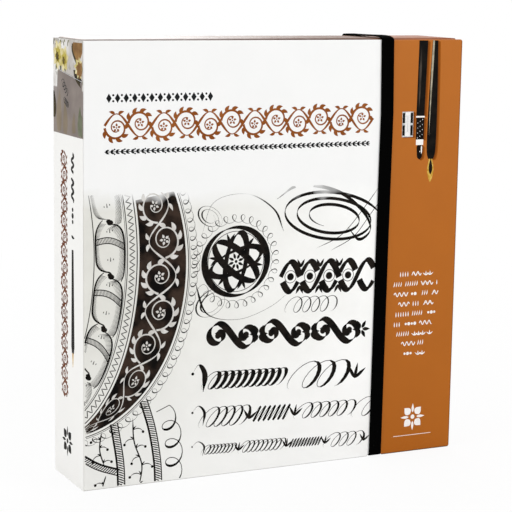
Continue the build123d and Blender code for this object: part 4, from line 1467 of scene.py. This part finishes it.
BACK_MIDDLE = (BAND_X - 6 + SPINE) / -2  # middle of the white area, in the back's own u
PLAIT_LENGTH = 150.0
back_lines = rosette(BACK_MIDDLE, 158.0, 40.0)
for v in (238.0, 28.0):
    rules = rule(PLAIT_LENGTH, 0.35) + rule(PLAIT_LENGTH, 0.35, 11.0)
    back_lines += moved(plait(PLAIT_LENGTH, 3.4, 11.0, 1.2), BACK_MIDDLE - PLAIT_LENGTH / 2, v)
    back_lines += moved(rules, BACK_MIDDLE - PLAIT_LENGTH / 2, v - 5.5)
back_rows = centred_rows(BACK_MIDDLE, 96.0, 9.0, [96, 130, 118, 126, 74], 4.2, 140, 0.6)
strip_u = -BAND_X - 27.5  # middle of the back's copper strip
back_vine = bend([(strip_u, 244.0), (strip_u, 22.0)], vine(222.0, 9.0, 1.8))
back_window = ((-FORE + 1, -SPINE - 1), (0.9, HEIGHT - 0.9))
put_print(
    "back_print", "box", on_back, back_window,
    [(back_lines + back_rows, black_ink, 0.04), (back_vine, white_ink, 0.04)],
)

# %% [markdown]
# ## Finishes for the pieces inside
# The pieces in the tray keep the shapes of the frame and get finishes. Each starts from what the real
# one is: flock on foam, kraft and cartridge paper cut in stacks, injection-moulded ABS, lacquered
# wood, drawn brass and stamped steel. Stacks of sheets show as fine lines on their edges only, so
# their pattern runs along Y, the direction in which the sheets are stacked.

# %% Give finishes to nodes
def finish(made, *nodes):
    """Put a material in every slot of the named nodes of the frame."""
    for node in nodes:
        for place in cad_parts[node].material_slots:
            place.material = made
    print(f"{made.name}: {', '.join(nodes)}")


def nodes_like(*words):
    """Names of the frame's nodes that hold one of the words."""
    return sorted(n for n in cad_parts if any(word in n for word in words))


# %% Finishes made from one noise
GRAINY = (0.35, 0.65)  # span over which a fine grain crosses from dark to light


def grained(name, fixed, noise, span, colours, relief=None, gloss=None, stretch=None):
    """Finish from one noise (scale, detail, roughness): over the span it goes from one colour to the
    other. It may also raise a bump (strength, mm) and move the roughness (low, high). A stretch of
    the coordinates draws it out into hairlines."""
    made, tree, inputs, place = begin(name, fixed)
    if stretch:
        place = add(tree, "ShaderNodeMapping", {"Vector": place, "Scale": stretch}).outputs["Vector"]
    scale, detail, harsh = noise
    grain = {"Vector": place, "Scale": scale, "Detail": detail, "Roughness": harsh}
    grain = add(tree, "ShaderNodeTexNoise", grain).outputs["Fac"]
    tree.links.new(shade(tree, grain, *span, *colours), inputs["Base Color"])
    if relief:
        height = {"Height": grain, "Strength": relief[0], "Distance": relief[1] * MM}
        tree.links.new(add(tree, "ShaderNodeBump", height).outputs["Normal"], inputs["Normal"])
    if gloss:
        rough = {"Value": grain, "To Min": gloss[0], "To Max": gloss[1]}
        rough = add(tree, "ShaderNodeMapRange", rough).outputs["Result"]
        tree.links.new(rough, inputs["Roughness"])
    return made


def brushed_metal(name, light, dark, rough, stretch=(900.0, 900.0, 25.0), depth=0.012):
    """Metal drawn or brushed along Z: noise stretched into hairlines moves tone and roughness."""
    gloss = (rough - 0.06, rough + 0.1)
    colours = (light, dark)
    return grained(name, {"Metallic": 1.0}, (1.0, 4.0, 0.5), GRAINY, colours, (0.5, depth), gloss, stretch)


# %% Boards, lining and platform
def lattice_line(tree, x, z, sign, pitch):
    """|sin(π(x ± z)/pitch)|: nought along one family of slanting lines."""
    sloped = add(tree, "ShaderNodeMath", {0: z, 1: float(sign), 2: x}, operation="MULTIPLY_ADD")
    turn = add(tree, "ShaderNodeMath", {0: sloped.outputs[0], 1: np.pi / pitch}, operation="MULTIPLY")
    wave = add(tree, "ShaderNodeMath", {0: turn.outputs[0]}, operation="SINE")
    return add(tree, "ShaderNodeMath", {0: wave.outputs[0]}, operation="ABSOLUTE").outputs[0]


LATTICE_PITCH = 14.0


def lining_paper():
    """Uncoated endpaper printed with a tone-on-tone lattice and a dot in each lozenge. The lower of the
    two families of lines marks a line, and their product is near 1 only in a lozenge's middle."""
    fixed = {"Specular IOR Level": 0.3}
    made, tree, inputs, place, cloud = papered("printed_endpaper", fixed, rough=0.7, tooth=0.03)
    x, _, z = in_mm(tree, place)
    lines = {k: lattice_line(tree, x, z, sign, LATTICE_PITCH) for k, sign in enumerate((1, -1))}
    near_line = add(tree, "ShaderNodeMath", lines, operation="MINIMUM").outputs[0]
    near_dot = add(tree, "ShaderNodeMath", lines, operation="MULTIPLY").outputs[0]
    base = shade(tree, cloud, *CLOUDY, "#c07a40", "#b26c33")
    lined = shade(tree, near_line, 0.06, 0.12, base, "#dca571", (1, 0))
    tree.links.new(shade(tree, near_dot, 0.940, 0.965, lined, "#e9c39b"), inputs["Base Color"])
    return made


def black_card():
    """Black pulp card under the contents, with a faint fibre."""
    fixed = {"Specular IOR Level": 0.3}
    made, tree, inputs, _, cloud = papered("black_pulp_card", fixed, rough=0.75, tooth=0.03)
    tree.links.new(shade(tree, cloud, *CLOUDY, "#1c1b1a", "#2a2826"), inputs["Base Color"])
    return made


# Recycled board is dull grey, with darker and paler flecks of old print.
greyboard = grained(
    "recycled_greyboard", {"Roughness": 0.92, "Specular IOR Level": 0.2},
    (900.0, 5.0, 0.7), GRAINY, ("#7c7872", "#a5a198"), relief=(0.5, 0.05),
)
finish(greyboard, "spine_board")
finish(lining_paper(), "cover_lining")
finish(black_card(), "platform_panel", "platform_ribs")


# %% Flocked foam
def flocked_foam():
    """Nylon flock on foam: it drinks light from the front and glows a little at grazing angles."""
    fixed = {"Roughness": 1.0, "Specular IOR Level": 0.1, "Sheen Weight": 0.35, "Sheen Roughness": 0.4}
    made, tree, inputs, place = begin("black_flocked_foam", fixed)
    nap = {"Vector": place, "Scale": 1400.0, "Detail": 3.0, "Roughness": 0.8}
    nap = add(tree, "ShaderNodeTexNoise", nap).outputs["Fac"]
    colour = shade(tree, nap, *GRAINY, "#0d0d0f", "#222225")
    colour = mottle(tree, place, 55.0, 2.0, (0.45, 0.65), colour, "#2a2a2e", (0, 0.4))
    tree.links.new(colour, inputs["Base Color"])
    relief = {"Height": nap, "Strength": 0.7, "Distance": 0.2 * MM}
    tree.links.new(add(tree, "ShaderNodeBump", relief).outputs["Normal"], inputs["Normal"])
    return made


finish(flocked_foam(), "tool_insert")


# %% Stacked paper goods
def sheet_stack(name, light, dark, pitch, fibre="#b9ab93", fleck=0.15):
    """Paper in a stack: lines along Y, a sheet apart (drawn no finer than 0.3 mm), and flecks."""
    made, tree, inputs, place, _ = papered(name, {"Specular IOR Level": 0.25}, rough=0.72, tooth=0.03)
    along = {"Vector": place, "Scale": (4.0, 1 / (max(pitch, 0.3) * MM), 4.0)}
    along = add(tree, "ShaderNodeMapping", along).outputs["Vector"]
    colour = mottle(tree, along, 1.0, 2.0, (0.38, 0.62), light, dark)
    colour = mottle(tree, place, 700.0, 4.0, (0.60, 0.72), colour, fibre, (0, fleck), harsh=0.7)
    tree.links.new(colour, inputs["Base Color"])
    return made


finish(sheet_stack("book_paper", "#f3efe6", "#d9d3c6", 0.1), "book_pages")
finish(sheet_stack("ivory_card_stock", "#f5f0e3", "#e6dfcd", 0.4), "note_cards")
finish(sheet_stack("cream_envelope_paper", "#ece2cb", "#dccfb3", 0.4), "envelopes")
finish(sheet_stack("kraft_tag_card", "#b98d5e", "#a77b4d", 0.5, "#6b4a2a", 0.5), "gift_tags")


# %% Pens
def moulded_black():
    """Injection-moulded ABS, polished in the mould: a clean dark gloss with the faintest ripple."""
    made, tree, inputs, place = begin("gloss_black_abs", {"Coat Weight": 0.6})
    ripple = add(tree, "ShaderNodeTexNoise", {"Vector": place, "Scale": 120.0, "Detail": 2.0})
    ripple = ripple.outputs["Fac"]
    gloss = add(tree, "ShaderNodeMapRange", {"Value": ripple, "To Min": 0.10, "To Max": 0.22})
    tree.links.new(gloss.outputs["Result"], inputs["Roughness"])
    relief = {"Height": ripple, "Strength": 0.2, "Distance": 0.03 * MM}
    tree.links.new(add(tree, "ShaderNodeBump", relief).outputs["Normal"], inputs["Normal"])
    colour = mottle(tree, place, 900.0, 2.0, (0, 1), "#0b0b0c", "#141416")
    tree.links.new(colour, inputs["Base Color"])
    return made


def grip_black():
    """Satin grip with moulded dots about a millimetre apart, for the fingers."""
    fixed = {"Roughness": 0.45, "Specular IOR Level": 0.4}
    made, tree, inputs, place = begin("dotted_grip_abs", fixed)
    cells = add(tree, "ShaderNodeTexVoronoi", {"Vector": place, "Scale": 700.0, "Randomness": 0.35})
    dots = {"Value": cells.outputs["Distance"], "From Min": 0.2, "From Max": 0.42}
    dots = add(tree, "ShaderNodeMapRange", {**dots, "To Min": 1.0, "To Max": 0.0}).outputs["Result"]
    relief = {"Height": dots, "Strength": 0.8, "Distance": 0.12 * MM}
    tree.links.new(add(tree, "ShaderNodeBump", relief).outputs["Normal"], inputs["Normal"])
    tree.links.new(shade(tree, dots, 0, 1, "#101012", "#1d1d20"), inputs["Base Color"])
    return made


FILLED = 0.76  # share of a cartridge's height that ink fills


def ink_cartridge():
    """Polythene cartridge, three quarters full: blue-black ink below, milky plastic above it."""
    fixed = {"Roughness": 0.22, "Coat Weight": 0.3}
    made, tree, inputs, place = begin("ink_filled_polythene", fixed)
    foot, head = (corner[2] for corner in reach("ink_cartridge_1"))
    ink_level = foot + FILLED * (head - foot)
    full = mottle(tree, place, 150.0, 2.0, GRAINY, "#10153a", "#1b2455")
    colour = shade(tree, in_mm(tree, place)[2], ink_level - 0.3, ink_level + 0.3, full, "#b9c0d6")
    tree.links.new(colour, inputs["Base Color"])
    return made


# The feed is matt black, with the fine vertical drag marks of an unpolished mould.
feed_plastic = grained(
    "matt_feed_abs", {"Roughness": 0.6, "Specular IOR Level": 0.35},
    (1.0, 2.0, 0.5), (0, 1), ("#0e0e0f", "#1e1e20"), stretch=(1200.0, 1200.0, 60.0),
)
chrome = brushed_metal("chromed_clip_steel", "#e6e7e9", "#c9cbce", 0.12)
steel_nib = brushed_metal("stamped_steel_nib", "#d3d4d6", "#a9abae", 0.22)
anchor_zinc = brushed_metal("zinc_plated_anchor", "#b9bcbf", "#909398", 0.35)
finish(moulded_black(), *nodes_like("_barrel", "_cap"))
finish(grip_black(), *nodes_like("grip"))
finish(feed_plastic, *nodes_like("_feed"))
finish(ink_cartridge(), *nodes_like("cartridge"))
finish(steel_nib, *nodes_like("pen_1_nib", "pen_2_nib", "spare_nib"))
finish(chrome, "pen_1_clip", "pen_2_clip")
finish(anchor_zinc, "elastic_clip_top", "elastic_clip_bottom")

# %% Dip pen and sharpener
# Turned wood lies under black lacquer: a deep coat, with the grain just showing brown through it.
lacquered_wood = grained(
    "lacquered_turned_wood", {"Roughness": 0.35, "Coat Weight": 1.0, "Coat Roughness": 0.06},
    (1.0, 5.0, 0.5), (0.42, 0.70), ("#0d0908", "#2e1a10"), relief=(0.25, 0.02),
    stretch=(700.0, 700.0, 22.0),
)
finish(lacquered_wood, "dip_pen_holder")
ALONG_X, ROUND_Y = (30.0, 900.0, 900.0), (500.0, 30.0, 500.0)  # how the hairlines run
CAST = (40.0, 500.0, 500.0)
for node, name, light, dark, rough, *more in (
    ("dip_pen_ferrule", "drawn_brass_ferrule", "#d8ae5a", "#b98a3c", 0.2),
    ("dip_pen_nib", "gilt_brass_nib", "#e9c46c", "#c9983f", 0.18),
    ("sharpener_body", "cast_magnesium_alloy", "#c4c6c8", "#9da0a3", 0.38, CAST, 0.03),
    ("sharpener_blade", "ground_blade_steel", "#dcdddf", "#aeb1b5", 0.2, ALONG_X),
    ("sharpener_screw", "turned_brass_screw", "#d9b25e", "#a87c33", 0.28, ROUND_Y),
):
    finish(brushed_metal(name, light, dark, rough, *more), node)

# %% [markdown]
# ## Turned trims
# Each pen has plated rings: a pair at the lip of its cap, one under the cap's crown and one near the
# foot of the barrel. Turned parts are a profile of radius and height carried round an axis.

# %% Plated rings
def turned(profile, axis, count=56):
    """Profile (radius, height) turned round a vertical axis: x = X + r·cos(a), y = Y + r·sin(a)."""
    angle = np.linspace(0, 2 * np.pi, count, endpoint=False)
    radius, height = np.asarray(profile, float).T[:, :, None]
    x, y = axis[0] + radius * np.cos(angle), axis[1] + radius * np.sin(angle)
    return np.stack(np.broadcast_arrays(x, y, height), -1)


def ring_profile(radius, low, high, proud=0.16, bury=0.25):
    """Closed section of a ring: buried in the wall, with a half-round outer face."""
    turn = np.linspace(-np.pi / 2, np.pi / 2, 7)
    middle, half = (low + high) / 2, (high - low) / 2
    face = line_of(radius + proud * np.cos(turn), middle + half * np.sin(turn))
    return np.vstack([[radius - bury, low], face, [radius - bury, high], [radius - bury, low]])


def pen_rings(name, node, body, spans):
    """Rings on a round node: one for each (height above the node's foot, width)."""
    low, high = reach(node)
    axis, radius = (low[:2] + high[:2]) / 2, (high[0] - low[0]) / 2
    points, faces = [], []
    for foot, wide in spans:
        grid = turned(ring_profile(radius, low[2] + foot, low[2] + foot + wide), axis)
        faces.append(grid_faces(*grid.shape[:2], around=True, start=sum(map(len, points))))
        points.append(grid.reshape(-1, 3))
    put_piece(name, np.vstack(points), np.vstack(faces), [chrome], body)


for number in (1, 2):
    pen = f"pen_{number}"
    cap_spans = [(1.2, 0.8), (2.8, 1.6), (50.6, 0.8)]
    pen_rings(f"{pen}_cap_rings", f"{pen}_cap", f"cap_{number}", cap_spans)
    pen_rings(f"{pen}_barrel_ring", f"{pen}_barrel", "box", [(3.0, 0.9)])

# %% [markdown]
# ## Book
# The instruction book is a perfect-bound paperback: laminated cover card with a round fold at the
# spine, printed like the case. Its cover is one bent strip, so it is drawn as one: down the back, round
# the spine and up the front, with thickness given by an inner copy of the same line.

# %% Book cover
book_low, book_high = reach("book_cover")
BOOK_CARD = reach("book_pages")[0][1] - book_low[1]


def spine_fold(x, y, radius, count=9):
    """U-shaped line seen from above: from the fore edge, round the spine in two arcs, and back."""
    turn = np.linspace(0, np.pi / 2, count)
    front_arc = [(x[0] + radius * (1 - np.sin(t)), y[0] + radius * (1 - np.cos(t))) for t in turn]
    back_arc = [(x[0] + radius * (1 - np.cos(t)), y[1] - radius * (1 - np.sin(t))) for t in turn]
    return np.array([(x[1], y[0])] + front_arc + back_arc + [(x[1], y[1])])


outside = spine_fold((book_low[0], book_high[0]), (book_low[1], book_high[1]), 2.4)
inside_y = (book_low[1] + BOOK_CARD, book_high[1] - BOOK_CARD)
inside = spine_fold((book_low[0] + BOOK_CARD, book_high[0]), inside_y, 1.2)
section = np.vstack([outside, inside[::-1]])
count = len(section)
points = np.array([np.column_stack([section, np.full(count, z)]) for z in (book_low[2], book_high[2])])
faces = grid_faces(2, count, around=True).tolist()
for base in (0, count):
    for k in range(count // 2 - 1):
        faces.append([base + k, base + k + 1, base + count - 2 - k, base + count - 1 - k])


def book_card():
    """Laminated cover card, white with a copper strip along its fore edge."""
    fixed = {"Coat Weight": 0.5, "Coat Roughness": 0.12}
    made, tree, inputs, place, cloud = papered("laminated_cover_card", fixed, rough=0.3, tooth=0.006)
    x = in_mm(tree, place)[0]
    white = shade(tree, cloud, *CLOUDY, "#f4f3f0", "#ecebe7")
    copper = shade(tree, cloud, *CLOUDY, "#b5661f", "#a85c1a")
    strip_x = book_high[0] - 30.0
    colour = shade(tree, x, strip_x - 0.05, strip_x + 0.05, white, copper)
    tree.links.new(colour, inputs["Base Color"])
    return made


put_piece("book_cover_card", points, faces, [book_card()], "box", replaces=["book_cover"])

# %% Book print
def on_book(u, v, h):
    """Front of the book, which faces the closed cover."""
    return np.stack(np.broadcast_arrays(u, book_low[1] - h, v), -1)


book_left, book_right = book_low[0], book_high[0]
book_title = moved(vine(96.0, 10.0, 2.2), book_left + 10, 176.0)
book_lines = moved(motif_row(92, 4.2, 31, words=(9, 20), gap=0.6, weight=0.6), book_left + 11, 158)
book_lines += moved(plait(60.0, 2.2, 7.2, 0.75), book_left + 10, 196.0)
book_lines += rosette(book_left + 58, 80, 34.0)
book_marks = fleuron(book_right - 15.0, 30.0, 8.0)
book_marks += moved(bend([(0, 0), (0, 120.0)], rope(120.0, 2.6, 2.8, 1.2)), book_right - 15.0, 70.0)
book_window = ((book_left + 3, book_right - 1), (book_low[2] + 1, book_high[2] - 1))
put_print(
    "book_print", "box", on_book, book_window,
    [(book_title, copper_ink, 0.03), (book_lines, black_ink, 0.03), (book_marks, white_ink, 0.03)],
)

# %% [markdown]
# ## Floor, light and background
# A product shot on white: a broad soft key from the front right, a weaker fill from the left and
# a white surround. The floor and the world are pure white to the camera, to gloss and to glass, and
# light the object only as much as the lamps leave room for.

# %% Studio
def seen_clear(tree):
    """1 for a ray from the camera, from gloss or through glass, 0 for light on its way to a surface."""
    seen = add(tree, "ShaderNodeLightPath").outputs
    first = {0: seen["Is Camera Ray"], 1: seen["Is Glossy Ray"]}
    first = add(tree, "ShaderNodeMath", first, operation="MAXIMUM").outputs[0]
    both = {0: first, 1: seen["Is Transmission Ray"]}
    return add(tree, "ShaderNodeMath", both, operation="MAXIMUM").outputs[0]


def studio_floor():
    """White seamless paper, lifted towards pure white for the camera but keeping the shadow. The
    lift grows with distance from the box, so the floor runs into the white surround unseen."""
    fixed = {"Base Color": linear("#f4f4f4"), "Roughness": 0.9}
    made, tree, inputs, place = begin("seamless_backdrop_paper", fixed)
    away = add(tree, "ShaderNodeVectorMath", {0: place}, operation="LENGTH").outputs["Value"]
    lifted = {"Value": away, "From Min": 0.18, "From Max": 0.80, "To Min": 0.90}
    lifted = add(tree, "ShaderNodeMapRange", lifted).outputs["Result"]
    share = add(tree, "ShaderNodeMath", {0: seen_clear(tree), 1: lifted}, operation="MULTIPLY")
    glow = add(tree, "ShaderNodeEmission", {"Color": (1, 1, 1, 1), "Strength": 1.0})
    paper = inputs["Base Color"].node.outputs["BSDF"]
    mixed = add(tree, "ShaderNodeMixShader", {0: share.outputs[0], 1: paper, 2: glow.outputs[0]})
    output = next(n for n in tree.nodes if n.type == "OUTPUT_MATERIAL")
    tree.links.new(mixed.outputs[0], output.inputs["Surface"])
    return made


FLOOR_HALF = 6.0  # metres to each side
floor_mesh = bpy.data.meshes.new("studio_floor")
floor_corners = [(x * FLOOR_HALF, y * FLOOR_HALF, 0) for x, y in ((-1, -1), (1, -1), (1, 1), (-1, 1))]
floor_mesh.from_pydata(floor_corners, [], [(0, 1, 2, 3)])
floor_mesh.materials.append(studio_floor())
floor = bpy.data.objects.new("studio_floor", floor_mesh)
bpy.context.collection.objects.link(floor)

SURROUND = 0.62  # strength of the white world as a light
world = bpy.data.worlds.new("white_surround")
world.use_nodes = True
bpy.context.scene.world = world
tree = world.node_tree
tree.nodes.clear()
strength = add(tree, "ShaderNodeMapRange", {"Value": seen_clear(tree), "To Min": SURROUND, "To Max": 1.0})
sky = {"Color": (1, 1, 1, 1), "Strength": strength.outputs["Result"]}
sky = add(tree, "ShaderNodeBackground", sky)
add(tree, "ShaderNodeOutputWorld", {"Surface": sky.outputs[0]})


def lamp(name, at, aim, size, power):
    """A square soft box at a place (m) aimed at a point, with its power in watts."""
    light = bpy.data.objects.new(name, bpy.data.lights.new(name, "AREA"))
    light.data.size = size
    light.data.energy = power
    light.location = at
    light.rotation_euler = (Vector(aim) - Vector(at)).to_track_quat("-Z", "Y").to_euler()
    bpy.context.collection.objects.link(light)


box_middle = (0, 0, HEIGHT / 2 * MM)
lamp("key_softbox", (0.62, -0.95, 0.75), box_middle, 0.6, 4.6)
lamp("fill_softbox", (-1.35, -0.35, 0.70), box_middle, 0.9, 6.0)
lamp("top_softbox", (0.1, 0.2, 1.4), box_middle, 0.8, 2.5)
lamp("rear_softbox", (0.5, 1.4, 0.8), box_middle, 0.9, 5.0)
print("studio: surround", SURROUND, "and 4 soft boxes")

# %% Finish
bpy.context.scene.view_settings.view_transform = "Standard"
